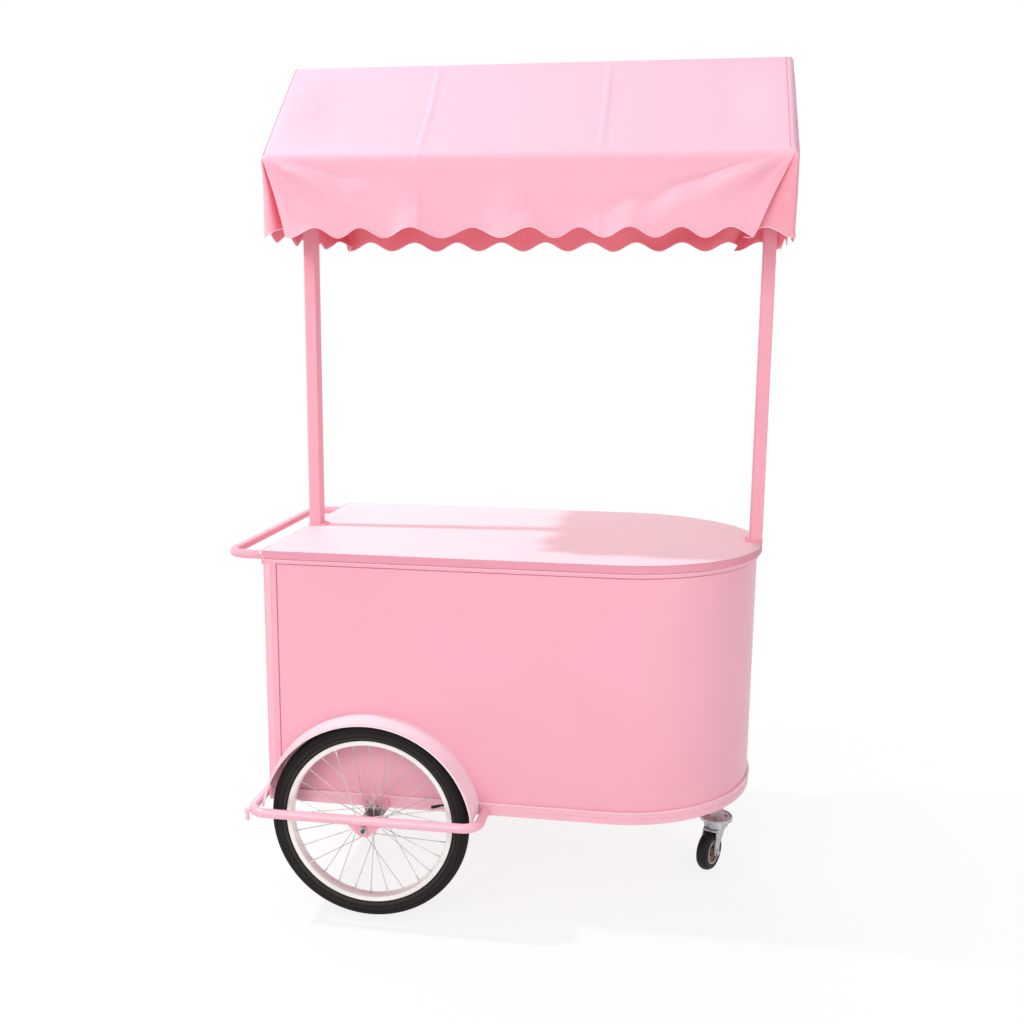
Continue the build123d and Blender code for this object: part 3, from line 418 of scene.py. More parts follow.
dress(sheet_paint, "wrap_panel", "top_band", "corner_trims", "front_door", "back_door")
dress(band_bounce_light_paint, "bottom_band")
dress(fender_lit_paint, "front_fender", "back_fender")
dress(leg_paint, "caster_leg")
dress(tube_paint, "left_post", "right_post", "post_feet", "roof_rails", "gable_bars", "push_handle",
      "handle_flanges", "outer_axle_hangers", "inner_axle_brackets", "post_foot_screws", "bracket_bolts")
dress(guard_lit_paint, "guard_bar", "guard_mounts", "guard_lug")
dress(inside_paint, "end_strips", "end_mullion", "top_frame", "bottom_frame", "frame_uprights",
      "cross_beams", "floor_panel", "shelf", "shelf_rails")
dress(counter_paint, "counter_top")
dress(zinc, "caster_plate", "caster_fork", "caster_plate_bolts")
dress(bright_steel, "axle_nuts", "handle_bolts", "hinge_frame_leaves", "hinge_pins", "caster_axle",
      "front_door_hinge_leaves", "back_door_hinge_leaves", "front_door_knob", "back_door_knob")
dress(hub_steel, "wheel_axles")
dress(valve_black, "front_valve", "back_valve")
dress(caster_brown, "caster_core")
dress(caster_black, "caster_tyre")
dress(catch_plastic, "door_catches")


# Ways of making pieces
wire_sides = 8
bead_spacing = 1.1


def add_object(bm, name, finish):
    """Turn a finished bmesh into a named object."""
    mesh = bpy.data.meshes.new(name)
    bm.to_mesh(mesh)
    bm.free()
    mesh.materials.append(finish.material)
    made = bpy.data.objects.new(name, mesh)
    scene.collection.objects.link(made)
    return made


def piece(bm, name, finish, body, smooth_angle=0.7):
    """Turn a finished bmesh into a smooth piece that rides on a body."""
    made = add_object(bm, name, finish)
    made.data.shade_smooth()
    made.data.set_sharp_from_angle(angle=smooth_angle)
    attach(made, body)
    return made


def tidy(bm, reach=1e-6):
    """Merge what touches and turn the faces outwards."""
    bmesh.ops.remove_doubles(bm, verts=bm.verts[:], dist=reach)
    bmesh.ops.recalc_face_normals(bm, faces=bm.faces[:])


def turned(bm, profile, centre, axis, steps, closed=False):
    """Spin a profile of radius and distance along the axis into a round piece."""
    side = axis.orthogonal().normalized()
    line = [bm.verts.new(centre + side * radius + axis * along) for radius, along in profile]
    pairs = list(zip(line, line[1:]))
    if closed:
        pairs.append((line[-1], line[0]))
    edges = [bm.edges.new(pair) for pair in pairs]
    bmesh.ops.spin(bm, geom=line + edges, cent=centre, axis=axis, angle=2 * math.pi, steps=steps,
                   use_merge=True)


def bar(bm, start, end, radius, end_radius, sides):
    """Round bar between two points."""
    along = end - start
    turn = along.to_track_quat("Z", "X").to_matrix().to_4x4()
    bmesh.ops.create_cone(bm, cap_ends=True, segments=sides, radius1=radius, radius2=end_radius,
                          depth=along.length, matrix=Matrix.Translation((start + end) / 2) @ turn)


def join(bm, part):
    """Add a small bmesh to a larger one."""
    held = bpy.data.meshes.new("held")
    part.to_mesh(held)
    part.free()
    bm.from_mesh(held)
    bpy.data.meshes.remove(held)


def dome(bm, spot, outward, radius, rise):
    """Low round head that stands on a face."""
    turn = outward.to_track_quat("Z", "X").to_matrix().to_4x4()
    flat = Matrix.Diagonal((1, 1, rise / radius, 1))
    head = bmesh.new()
    bmesh.ops.create_uvsphere(head, u_segments=10, v_segments=6, radius=radius,
                              matrix=Matrix.Translation(spot) @ turn @ flat)
    join(bm, head)


def weld_ring(bm, centre, axis, ring_radius, bead):
    """Weld round a tube: overlapping beads in a ring."""
    side = axis.orthogonal().normalized()
    count = round(2 * math.pi * ring_radius / (bead_spacing * bead))
    for index in range(count):
        spot = Matrix.Rotation(2 * math.pi * index / count, 3, axis) @ side * ring_radius
        dome(bm, centre + spot, axis, bead, bead)


def weld_line(bm, start, end, bead):
    """Weld along an edge: overlapping beads in a row."""
    count = round((end - start).length / (bead_spacing * bead))
    for index in range(count + 1):
        dome(bm, start.lerp(end, index / count), (end - start).normalized(), bead, bead)


def only(geometry, kind):
    """Items of one kind in an operator's result."""
    return [item for item in geometry if isinstance(item, kind)]


def round_cabinet(bm, section):
    """Carry a closed section of (distance from the middle plane, height) round the cabinet's plan."""
    loop = [bm.verts.new(Vector((x_at(0.0), -out, z))) for out, z in section]
    edges = [bm.edges.new(pair) for pair in zip(loop, loop[1:] + loop[:1])]
    straight = Vector((nose_station, 0, 0))
    nose = Vector((x_at(nose_station), 0, 0))
    grown = bmesh.ops.extrude_edge_only(bm, edges=edges)["geom"]
    bmesh.ops.translate(bm, verts=only(grown, bmesh.types.BMVert), vec=straight)
    edges = [edge for edge in only(grown, bmesh.types.BMEdge)
             if all(abs(vert.co.x - nose.x) < 1e-6 for vert in edge.verts)]
    verts = list(dict.fromkeys(vert for edge in edges for vert in edge.verts))
    spun = bmesh.ops.spin(bm, geom=verts + edges, cent=nose, axis=(0, 0, 1), angle=math.pi, steps=64)
    edges = only(spun["geom_last"], bmesh.types.BMEdge)
    grown = bmesh.ops.extrude_edge_only(bm, edges=edges)["geom"]
    bmesh.ops.translate(bm, verts=only(grown, bmesh.types.BMVert), vec=-straight)
    bmesh.ops.holes_fill(bm, edges=bm.edges[:], sides=len(section))
    tidy(bm)


def half_round(out, z, radius):
    """Section of a bead that sits on a face."""
    turns = [math.pi * step / wire_sides for step in range(wire_sides + 1)]
    return [(out + radius * math.sin(turn), z - radius * math.cos(turn)) for turn in turns]


def full_round(out, z, radius):
    """Section of a round wire."""
    turns = [2 * math.pi * step / wire_sides for step in range(wire_sides)]
    return [(out + radius * math.cos(turn), z + radius * math.sin(turn)) for turn in turns]


# Canopy cover: one sheet over the ridge with two end sheets sewn to it
slope = math.hypot(canopy_half, ridge_z - eave_z)
below_roof = 0.8 * drop
valance_rows = 40
slope_rows = 30
flap_columns = 10
fold_columns = 4
front_columns = 196
sheet_rows = 2 * (valance_rows + slope_rows)
sheet_columns = 2 * (flap_columns + fold_columns) + front_columns
tucks = {"handle": 0.055, "nose": 0.085}
fold_overlap = 0.020
layer_gap = 0.0045
pocket_depths = {"handle": 0.030, "nose": 0.012}
# Painted shade in the tucks: where across each flap it ramps in, and a painted shade over the whole return
# at the nose.
pocket_shades = {"handle": (0.10, 0.58), "nose": (0.62, 0.86)}
return_shades = {"handle": 0.0, "nose": 0.3}
scallop_rise = 0.0115
scallop_pitch = 0.117
end_scallop_rise = 0.0105
scallop_peaks = (-0.010, 0.112, 0.214, 0.336, 0.476, 0.607, 0.716, 0.828, 0.939, 1.044, 1.160)
crease_lines = (0.352, 0.760)
crease_rise = 0.0036
crease_half_width = 0.007
roof_sag = 0.0140
side_sway = 0.0085
side_ripple = 0.0035
side_flutter = 0.0040
end_bulge = 0.006
end_corner = 0.045
cloth_thickness = 0.0012
binding_radius = 0.0013
seam_radius = 0.0009


def smooth(low, high, value):
    """Ease from 0 at low to 1 at high."""
    share = min(max((value - low) / (high - low), 0.0), 1.0)
    return share * share * (3 - 2 * share)


def section_point(run):
    """Y and Z of the cover's section, with corners, at a distance from the front hem's level."""
    if run < drop:
        return -canopy_half, hem_z + run
    if run <= drop + slope:
        share = (run - drop) / slope
        return -canopy_half * (1 - share), eave_z + (ridge_z - eave_z) * share
    y, z = section_point(2 * (drop + slope) - run)
    return -y, z


def soft_section(run):
    """The section with its corners rounded by the cloth's stiffness."""
    reach = 0.009
    total = 2 * (drop + slope)
    steps = [section_point(min(max(run + reach * k / 3, 0.0), total)) for k in range(-3, 4)]
    return sum(y for y, z in steps) / 7, sum(z for y, z in steps) / 7


def scallop_wave(station, peaks):
    """Height of the wavy hem above its mean, with high points at the given stations."""
    for first, second in zip(peaks, peaks[1:]):
        if first <= station < second:
            return scallop_rise * math.cos(2 * math.pi * (station - first) / (second - first))
    nearest = peaks[0] if station < peaks[0] else peaks[-1]
    return scallop_rise * math.cos(2 * math.pi * (station - nearest) / scallop_pitch)


even_peaks = tuple(canopy_start + (canopy_end - canopy_start) * step / 10 for step in range(11))


def fan_folds(away, below, reach, strength):
    """Soft folds that fan out from a top corner of a hanging side: angle, width and height of each."""
    radius = math.hypot(away, below)
    angle = math.degrees(math.atan2(below, max(away, 1e-6)))
    folds = ((11, 6, -0.0120), (27, 9, 0.0280), (47, 8, -0.0120), (66, 7, 0.0080))
    height = sum(size * math.exp(-((angle - middle) / wide) ** 2) for middle, wide, size in folds)
    return strength * height * radius / (radius + 0.04) * math.exp(-(radius / reach) ** 2)


def crease(station):
    """Sharp ridge left where the cloth was folded for packing."""
    return sum(crease_rise * max(0.0, 1 - abs(station - line) / crease_half_width) for line in crease_lines)


def hang_out(station, depth, side, hem_drop):
    """How far a long hanging side stands out from its flat place."""
    below = depth * hem_drop
    handle_fan = fan_folds(station - canopy_start, below, 0.36, 0.7)
    nose_fan = fan_folds(canopy_end - station, below, 0.42, 1.0)
    seed = Vector((station * 6.0, side * 5.0, depth * 1.3))
    sway = side_sway * noise.noise(seed) + side_ripple * noise.noise(seed * 2.6)
    flutter = side_flutter * math.sin(math.pi * station / scallop_pitch + side) * depth
    free = smooth(0.08, 0.35, depth) * (sway + flutter * depth)
    return smooth(0.06, 0.26, depth) * (handle_fan + nose_fan) + free + 0.5 * crease(station)


def slope_out(station, share, side):
    """How far a roof slope stands out: it sags between the rails and creases stand up."""
    inboard = min(station - canopy_start, canopy_end - station)
    free = smooth(0.02, 0.16, inboard)
    hollow = -roof_sag * math.sin(math.pi * share) ** 1.3
    seed = Vector((station * 4.0, side * 3.0 + share * 1.6, 2.0))
    sway = 0.0022 * noise.noise(seed) * math.sin(math.pi * share)
    return free * (hollow + sway + crease(station) * math.sin(math.pi * share) ** 0.5)


def along_sheet(column, depth):
    """Station, distance behind the front, flat distance and painted tuck-shade share of a column at a
    depth.
    """
    widths = {end: tuck * depth for end, tuck in tucks.items()}
    overlap = fold_overlap * depth
    gap = layer_gap * smooth(0.0, 0.5, depth)
    pleat = flap_columns + fold_columns
    at_nose = column > pleat + front_columns
    step = sheet_columns - column if at_nose else column
    end = "nose" if at_nose else "handle"
    width = widths[end]
    pocket = pocket_depths[end] * depth
    tone = return_shades[end]
    # Share of painted shade in the tuck: deeper in the pocket, with a painted shade over the whole nose
    # return.
    tucked = tone + (1 - tone) * smooth(*pocket_shades[end], step / flap_columns)
    tucked *= smooth(0.02, 0.20, depth)
    if step < flap_columns:
        away = (width + overlap) * step / flap_columns
        behind = 2 * gap + pocket * smooth(0.2, 0.7, step / flap_columns)
        flat = away - 2 * overlap
    elif step < pleat:
        share = (step - flap_columns) / fold_columns
        away = width + overlap * (1 - share)
        behind = (2 * gap + pocket) * (1 - share)
        flat = width + overlap * (share - 1)
    else:
        left = canopy_start + widths["handle"]
        right = canopy_end - widths["nose"]
        station = left + (right - left) * (column - pleat) / front_columns
        return station, 0.0, station, 0.0
    if at_nose:
        return canopy_end - away, behind, canopy_end - flat, tucked
    return canopy_start + away, behind, canopy_start + flat, tucked


def end_roll(station, share):
    """Drop of the slope where the cloth rolls over the end rafters."""
    size = 0.006 + 0.006 * (1 - share)
    near = min(station - canopy_start, canopy_end - station)
    inside = max(0.0, 1 - near / size)
    return size * (1 - math.sqrt(max(0.0, 1 - inside * inside)))


def sheet_point(row, column):
    """Place, flat coordinates, height above the hem and painted tuck-shade share of one point of the main
    sheet.
    """
    back = row > valance_rows + slope_rows
    step = sheet_rows - row if back else row
    side = 1 if back else -1
    if step < valance_rows:
        depth = 1 - step / valance_rows
        station, behind, flat, tucked = along_sheet(column, depth)
        peaks = even_peaks if back else scallop_peaks
        wave = scallop_wave(flat, peaks)
        y, z = soft_section(drop * (1 - depth))
        z += wave * depth ** 2 - end_roll(station, 0.0) * smooth(0.16, 0.0, depth)
        out = hang_out(station, depth, side, drop) - behind
        flat_run = drop * (1 - depth) + wave * depth ** 2
        above = drop * (1 - depth)
        place = Vector((x_at(station), side * (abs(y) + out), z))
    else:
        share = (step - valance_rows) / slope_rows
        station, behind, flat, tucked = along_sheet(column, 0.0)
        y, z = soft_section(drop + slope * share)
        out = slope_out(station, share, side)
        rise = math.sqrt(0.5)
        roll = end_roll(station, share)
        place = Vector((x_at(station), side * (abs(y) + rise * out), z + rise * out - roll))
        flat_run = drop + slope * share
        above = drop
    if back:
        flat_run = 2 * (drop + slope) - flat_run
    return place, (flat, flat_run), above, tucked


def end_point(end, row, column):
    """Place, flat coordinates, height above the hem and painted tuck-shade share of one point of an end
    sheet.
    """
    edge_column = 0 if end < 0 else sheet_columns
    if column == 0:
        return sheet_point(valance_rows - row, edge_column)
    if column == 2 * slope_rows:
        return sheet_point(valance_rows + 2 * slope_rows + row, edge_column)
    top = sheet_point(valance_rows + column, edge_column)[0]
    if row == 0:
        return top, (top.y, top.z), below_roof, 0.0
    depth = row / valance_rows
    y = top.y * (1 - 2 * layer_gap * smooth(0.0, 0.5, depth) / canopy_half)
    corner = canopy_half - end_corner
    pitch = 2 * corner / 3
    wave = end_scallop_rise * math.cos(2 * math.pi * (y + corner) / pitch)
    hem_edge = canopy_start if end < 0 else canopy_end
    peaks = scallop_peaks if y < 0 else even_peaks
    corner_wave = scallop_wave(hem_edge + end * 2 * fold_overlap * depth, peaks)
    fade = smooth(canopy_half, corner - 0.02, abs(y))
    height_run = top.z - hem_z
    z = top.z - height_run * depth + (wave * fade + corner_wave * (1 - fade)) * depth ** 2
    below = smooth(1.78, 1.70, z)
    seed = Vector((y * 7.0, end * 3.0, depth * 2.0))
    sway = 0.004 * noise.noise(seed) * depth + 0.003 * math.sin(y * 34.0) * depth * depth
    bulge = end_bulge * smooth(0.0, 0.12, depth) * smooth(canopy_half, canopy_half - 0.03, abs(y))
    out = bulge + sway * below * fade
    above = min(height_run * (1 - depth), below_roof)
    return Vector((top.x + end * out, y, z)), (y, z), above, 0.0


def sheet_grid(bm, flat_layer, above_layer, tuck_shade_layer, rows, columns, point):
    """One rectangular sheet of cloth, laid out by a function of row and column."""
    grid = bmesh.ops.create_grid(bm, x_segments=columns, y_segments=rows, size=0.5)["verts"]
    flats = {}
    for vert in grid:
        column = round((vert.co.x + 0.5) * columns)
        row = round((vert.co.y + 0.5) * rows)
        vert.co, flats[vert], vert[above_layer], vert[tuck_shade_layer] = point(row, column)
    for face in {face for vert in grid for face in vert.link_faces}:
        for loop in face.loops:
            loop[flat_layer].uv = flats[loop.vert]


def canopy():
    """The cover with its scalloped hem, corner folds and end sheets."""
    bm = bmesh.new()
    flat_layer = bm.loops.layers.uv.new("flat")
    bm.verts.layers.float.new("above_hem")
    bm.verts.layers.float.new("tucked")
    layers = flat_layer, bm.verts.layers.float["above_hem"], bm.verts.layers.float["tucked"]
    sheet_grid(bm, *layers, sheet_rows, sheet_columns, sheet_point)
    for end in (-1, 1):
        sheet_grid(bm, *layers, valance_rows, 2 * slope_rows,
                   lambda row, column: end_point(end, row, column))
    tidy(bm, 0.00005)
    highest = max(bm.faces, key=lambda face: face.calc_center_median().z)
    if highest.normal.z < 0:
        bmesh.ops.reverse_faces(bm, faces=bm.faces[:])
    cloth_area = sum(face.calc_area() for face in bm.faces)
    made = piece(bm, "canopy_sheet", cloth_outside, "cart", smooth_angle=1.2)
    made.data.materials.append(cloth_inside.material)
    thick = made.modifiers.new("cloth_thickness", "SOLIDIFY")
    thick.thickness = cloth_thickness
    thick.offset = -1.0
    thick.material_offset = 1
    return made, cloth_area


canopy_sheet, cloth_area = canopy()
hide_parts("canopy_cover")


def cloth_line(name, runs, radius, finish):
    """Thin sewn edge that follows runs of points on the cover."""
    line = bpy.data.curves.new("sewn_line", "CURVE")
    line.dimensions = "3D"
    line.bevel_depth = radius
    line.bevel_resolution = 1
    line.use_fill_caps = True
    for run in runs:
        spline = line.splines.new("POLY")
        spline.points.add(len(run) - 1)
        for point, place in zip(spline.points, run):
            point.co = (*place, 1.0)
    holder = bpy.data.objects.new("sewn_line", line)
    bm = bmesh.new()
    mesh = bpy.data.meshes.new_from_object(holder)
    bm.from_mesh(mesh)
    bm.loops.layers.uv.new("flat")
    bpy.data.objects.remove(holder)
    bpy.data.meshes.remove(mesh)
    return piece(bm, name, finish, "cart")


def rafter_run(station):
    """Points over the roof along an end rafter's sewn seam."""
    share = (station - canopy_start) / (canopy_end - canopy_start)
    column = flap_columns + fold_columns + front_columns * share
    return [sheet_point(valance_rows + row, column)[0] for row in range(2 * slope_rows + 1)]


hem_runs = [[sheet_point(row, column)[0] for column in range(sheet_columns + 1)] for row in (0, sheet_rows)]
for end in (-1, 1):
    hem_runs.append([end_point(end, valance_rows, column)[0] for column in range(2 * slope_rows + 1)])
canopy_binding = cloth_line("canopy_hem_binding", hem_runs, binding_radius, binding_cloth)
rafter_runs = [rafter_run(canopy_start + 0.006), rafter_run(canopy_end - 0.017)]
rafter_seams = cloth_line("canopy_rafter_seams", rafter_runs, seam_radius, seam_cloth)


# Spoked wheels
spoke_count = 28
spoke_radius = 0.0010
spoke_seat = 0.019
spoke_reach = 0.186
flange_middle = 0.02925
flange_layer = 0.00135
rim_bed = 0.0026
head_stand = 0.0030
spoke_head = (0.0021, 0.0011)
thread_length = 0.006
nipple_length = 0.013
nipple_radii = (0.0015, 0.0021)


# Half profiles of the wheel's round parts, as radius and distance from the wheel's plane
tyre_half = [(0.1885, 0.0115), (0.1996, 0.0118), (0.2003, 0.0130), (0.2011, 0.0127), (0.2020, 0.0141),
             (0.2050, 0.0168), (0.2085, 0.0184), (0.2099, 0.0180), (0.2112, 0.0188), (0.2160, 0.0194),
             (0.2205, 0.0192), (0.2245, 0.0182), (0.2285, 0.0162), (0.2308, 0.0150), (0.2335, 0.0116),
             (0.2352, 0.0083), (0.2364, 0.0045)]
tyre_crown = [(0.2370, 0.0)]
rim_half = [(0.1850, 0.0), (0.1850, 0.0040), (0.1854, 0.0068), (0.1868, 0.0112), (0.1882, 0.0137),
            (0.1900, 0.0145), (0.1924, 0.0145), (0.1930, 0.0140), (0.1938, 0.0140), (0.1944, 0.0145),
            (0.1972, 0.0145), (0.1984, 0.0143), (0.1990, 0.0134), (0.1988, 0.0124), (0.1978, 0.0120),
            (0.1950, 0.0120), (0.1905, 0.0116), (0.1882, 0.0100), (0.1882, 0.0)]
hub_half = [(0.0105, 0.0), (0.0105, 0.0150), (0.0118, 0.0205), (0.0150, 0.0245), (0.0210, 0.0268),
            (0.0220, 0.0275), (0.0220, 0.0312), (0.0212, 0.0320), (0.0150, 0.0320), (0.0138, 0.0326),
            (0.0138, 0.0352), (0.0120, 0.0372), (0.0098, 0.0380), (0.0098, 0.0396), (0.0090, 0.0400),
            (0.0051, 0.0400)]
hub_bore = [(0.0051, -0.0400), (0.0051, 0.0400)]
tyre_steps = 144
hub_steps = 48


def mirrored(half):
    """The other half of a profile."""
    return [(radius, -along) for radius, along in half]


def wheel_round(end, name, centre, profiles, steps, finish, smooth_angle, closed=False):
    """Round part of a wheel, turned about its axle."""
    bm = bmesh.new()
    for profile in profiles:
        turned(bm, profile, centre, Vector((0, 1, 0)), steps, closed)
    tidy(bm)
    return piece(bm, f"{end}_{name}", finish, f"{end}_wheel_set", smooth_angle)


def spokes(end, centre, turn):
    """Tangent spokes, laced three-cross, with their heads in the flanges."""
    wires, nipples = bmesh.new(), bmesh.new()
    lean_angle = 3 * 2 * math.pi / (spoke_count // 2)
    place = Matrix.Translation(centre) @ Matrix.Rotation(turn, 4, "Y")
    for index in range(spoke_count):
        face = 1 if index % 2 == 0 else -1
        lean = 1 if (index // 2) % 2 == 0 else -1
        rim_angle = 2 * math.pi * index / spoke_count
        hub_angle = rim_angle + lean * lean_angle
        layer = lean * flange_layer
        start = Vector((spoke_seat * math.cos(hub_angle), face * (flange_middle + layer),
                        spoke_seat * math.sin(hub_angle)))
        tip = Vector((spoke_reach * math.cos(rim_angle), face * (rim_bed + layer),
                      spoke_reach * math.sin(rim_angle)))
        along = place.to_3x3() @ (tip - start).normalized()
        start, tip = place @ start, place @ tip
        bar(wires, start, tip - along * thread_length, spoke_radius, spoke_radius, 10)
        head = start + Vector((0, face * lean * head_stand, 0))
        dome(wires, head, Vector((0, face, 0)), *spoke_head)
        bar(nipples, tip - along * nipple_length, tip, *nipple_radii, 8)
    tidy(wires)
    tidy(nipples)
    laced = piece(wires, f"{end}_laced_spokes", spoke_steel, f"{end}_wheel_set")
    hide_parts(f"{end}_spokes")
    piece(nipples, f"{end}_spoke_nipples", bright_steel, f"{end}_wheel_set")


for end, side, turn in (("front", -1, 0.0), ("back", 1, math.radians(37.0))):
    hub_centre = Vector((x_at(wheel_station), side * wheel_plane, wheel_z))
    tyre = wheel_round(end, "road_tyre", hub_centre, [tyre_half + tyre_crown + mirrored(tyre_half)[::-1]],
                       tyre_steps, tyre_rubbers[end], 0.9, closed=True)
    rim = wheel_round(end, "wheel_rim", hub_centre, [rim_half, mirrored(rim_half)],
                      tyre_steps, rim_alloy, 0.5)
    hub = wheel_round(end, "wheel_hub", hub_centre, [hub_half, mirrored(hub_half), hub_bore],
                      hub_steps, hub_steel, 0.5)
    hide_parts(f"{end}_tyre")
    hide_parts(f"{end}_rim")
    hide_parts(f"{end}_hub")
    spokes(end, hub_centre, turn)


# Rivets, beads and fine lines along the bands and trims
rivet_pitch = 0.083
first_rivet = 0.045
small_rivet = (0.0028, 0.0014)
large_rivet = (0.0034, 0.0016)


def plan_spots(pitch, out):
    """Points and outward directions along the cabinet's plan, at about the given pitch."""
    spots = []
    straight = round((nose_station - first_rivet) / pitch)
    for side in (-1, 1):
        for step in range(straight):
            station = first_rivet + (nose_station - first_rivet) * step / straight
            spots.append((Vector((x_at(station), side * out, 0)), Vector((0, side, 0))))
    bends = round(math.pi * out / pitch)
    for step in range(bends + 1):
        angle = math.pi * step / bends - math.pi / 2
        outward = Vector((math.cos(angle), math.sin(angle), 0))
        spots.append((Vector((x_at(nose_station), 0, 0)) + outward * out, outward))
    return spots


def band_rivets():
    """Small blind rivets that hold the bands and the corner trims to the frame."""
    bm = bmesh.new()
    top_row = top_band_low + 0.0042
    trim_low, trim_rivets = 0.302, 7
    hidden = [(x_at(wheel_station), 0.06), (x_at(guard_front), 0.03)]
    for spot, outward in plan_spots(rivet_pitch, band_face):
        dome(bm, spot + Vector((0, 0, top_row)), outward, *small_rivet)
        if all(abs(spot.x - middle) > reach for middle, reach in hidden):
            dome(bm, spot + Vector((0, 0, bottom_seam)), outward, *large_rivet)
    for side in (-1, 1):
        for step in range(trim_rivets):
            spot = Vector((x_at(trim_seam), side * band_face, trim_low + rivet_pitch * step))
            dome(bm, spot, Vector((0, side, 0)), *large_rivet)
    piece(bm, "band_rivets", rivet_paint, "cart", 1.6)


def band_beads():
    """Rolled lips along the tops of the bands, in a paler paint: painted highlight."""
    bm = bmesh.new()
    for level, radius in ((bottom_band_top - 0.0030, 0.0028), (top_band_top - 0.0048, 0.0019)):
        lip = bmesh.new()
        round_cabinet(lip, half_round(band_face, level, radius))
        join(bm, lip)
    piece(bm, "band_beads", bead_highlight_paint, "cart", 0.9)


def cover_strips():
    """Thin cover strips on the lower band and the corner trims, whose edges show as fine lines."""
    bm = bmesh.new()
    sunk, proud, ease = band_face - 0.0004, band_face + 0.0009, 0.0003
    low, high = bottom_band_low + 0.0005, bottom_seam
    round_cabinet(bm, [(sunk, low), (proud, low + ease), (proud, high - ease), (sunk, high)])
    first, last = 0.0040, trim_seam
    bottom, top = bottom_band_top + 0.0005, top_band_low - 0.0005
    middle = Vector((x_at((first + last) / 2), 0, (bottom + top) / 2))
    size = Matrix.Diagonal((last - first, proud - sunk, top - bottom, 1))
    for side in (-1, 1):
        strip = bmesh.new()
        place = Matrix.Translation(middle + Vector((0, side * (sunk + proud) / 2, 0)))
        bmesh.ops.create_cube(strip, size=1.0, matrix=place @ size)
        bmesh.ops.bevel(strip, geom=strip.edges[:], offset=ease, offset_type="OFFSET", affect="EDGES",
                        segments=2, profile=0.5, material=-1)
        join(bm, strip)
    piece(bm, "cover_strips", band_bounce_light_paint, "cart", 0.5)


def panel_shadow_lines():
    """Dark fine lines where the panel runs in under the top band and the corner trims: painted shadow of
    the proud band and trims.
    """
    bm = bmesh.new()
    radius, out, under = 0.0017, panel_face - 0.0004, top_band_low - 0.0015
    round_cabinet(bm, full_round(out, under, radius))
    for side in (-1, 1):
        foot = Vector((x_at(trim_width + 0.0003), side * out, bottom_band_top))
        upright = bmesh.new()
        bar(upright, foot, foot + Vector((0, 0, under - bottom_band_top)), radius, radius, wire_sides)
        join(bm, upright)
    piece(bm, "panel_shadow_lines", seam_shade, "cart", 0.9)


def counter_edge_reflection_line():
    """Greyish fine line along the counter's top edge: a painted reflection of the rounded edge."""
    bm = bmesh.new()
    inset, level, radius = 0.0005, counter_z - 0.0006, 0.0009
    out = half_depth - inset
    round_cabinet(bm, full_round(out, level, radius))
    end_run = bmesh.new()
    corners = [Vector((x_at(inset), side * out, level)) for side in (-1, 1)]
    bar(end_run, *corners, radius, radius, wire_sides)
    join(bm, end_run)
    piece(bm, "counter_edge_reflection", edge_reflection_paint, "cart", 0.9)


def fender_beads():
    """Wired outer edges of the fenders, in the bead paint, which is paler than the panels as a painted
    highlight.
    """
    bm = bmesh.new()
    wire, inset, sides = 0.0021, 0.0012, 10
    reach = fender_radius - inset
    foot = math.asin((fender_foot - fender_z) / fender_radius)
    centre = Vector((x_at(fender_station), 0, fender_z))
    for side in (-1, 1):
        ring = bmesh.ops.create_circle(bm, segments=sides, radius=wire)["verts"]
        spot = Vector((reach * math.cos(foot), side * (fender_edge - inset), reach * math.sin(foot)))
        place = Matrix.Translation(centre + spot) @ Matrix.Rotation(-foot, 4, "Y")
        bmesh.ops.transform(bm, verts=ring, matrix=place)
        edges = list(dict.fromkeys(edge for vert in ring for edge in vert.link_edges))
        bmesh.ops.spin(bm, geom=ring + edges, cent=centre, axis=(0, -1, 0), angle=math.pi - 2 * foot,
                       steps=80)
    bmesh.ops.holes_fill(bm, edges=bm.edges[:], sides=sides)
    tidy(bm)
    piece(bm, "fender_edge_beads", bead_highlight_paint, "cart", 0.9)


def caster_rings():
    """Pressed bearing covers on both faces of the caster's wheel."""
    bm = bmesh.new()
    axis = Vector((-math.sin(caster_yaw), math.cos(caster_yaw), 0))
    trail = Vector((math.cos(caster_yaw), math.sin(caster_yaw), 0)) * caster_trail
    centre = Vector((x_at(caster_station), 0, caster_z)) + trail
    profile = [(0.0286, 0.0090), (0.0290, 0.0142), (0.0300, 0.0150), (0.0312, 0.0150), (0.0320, 0.0142),
               (0.0320, 0.0130)]
    for face in (mirrored(profile), profile):
        turned(bm, face, centre, axis, hub_steps, closed=True)
    tidy(bm)
    piece(bm, "caster_wheel_rings", zinc, "caster_roller", 0.5)


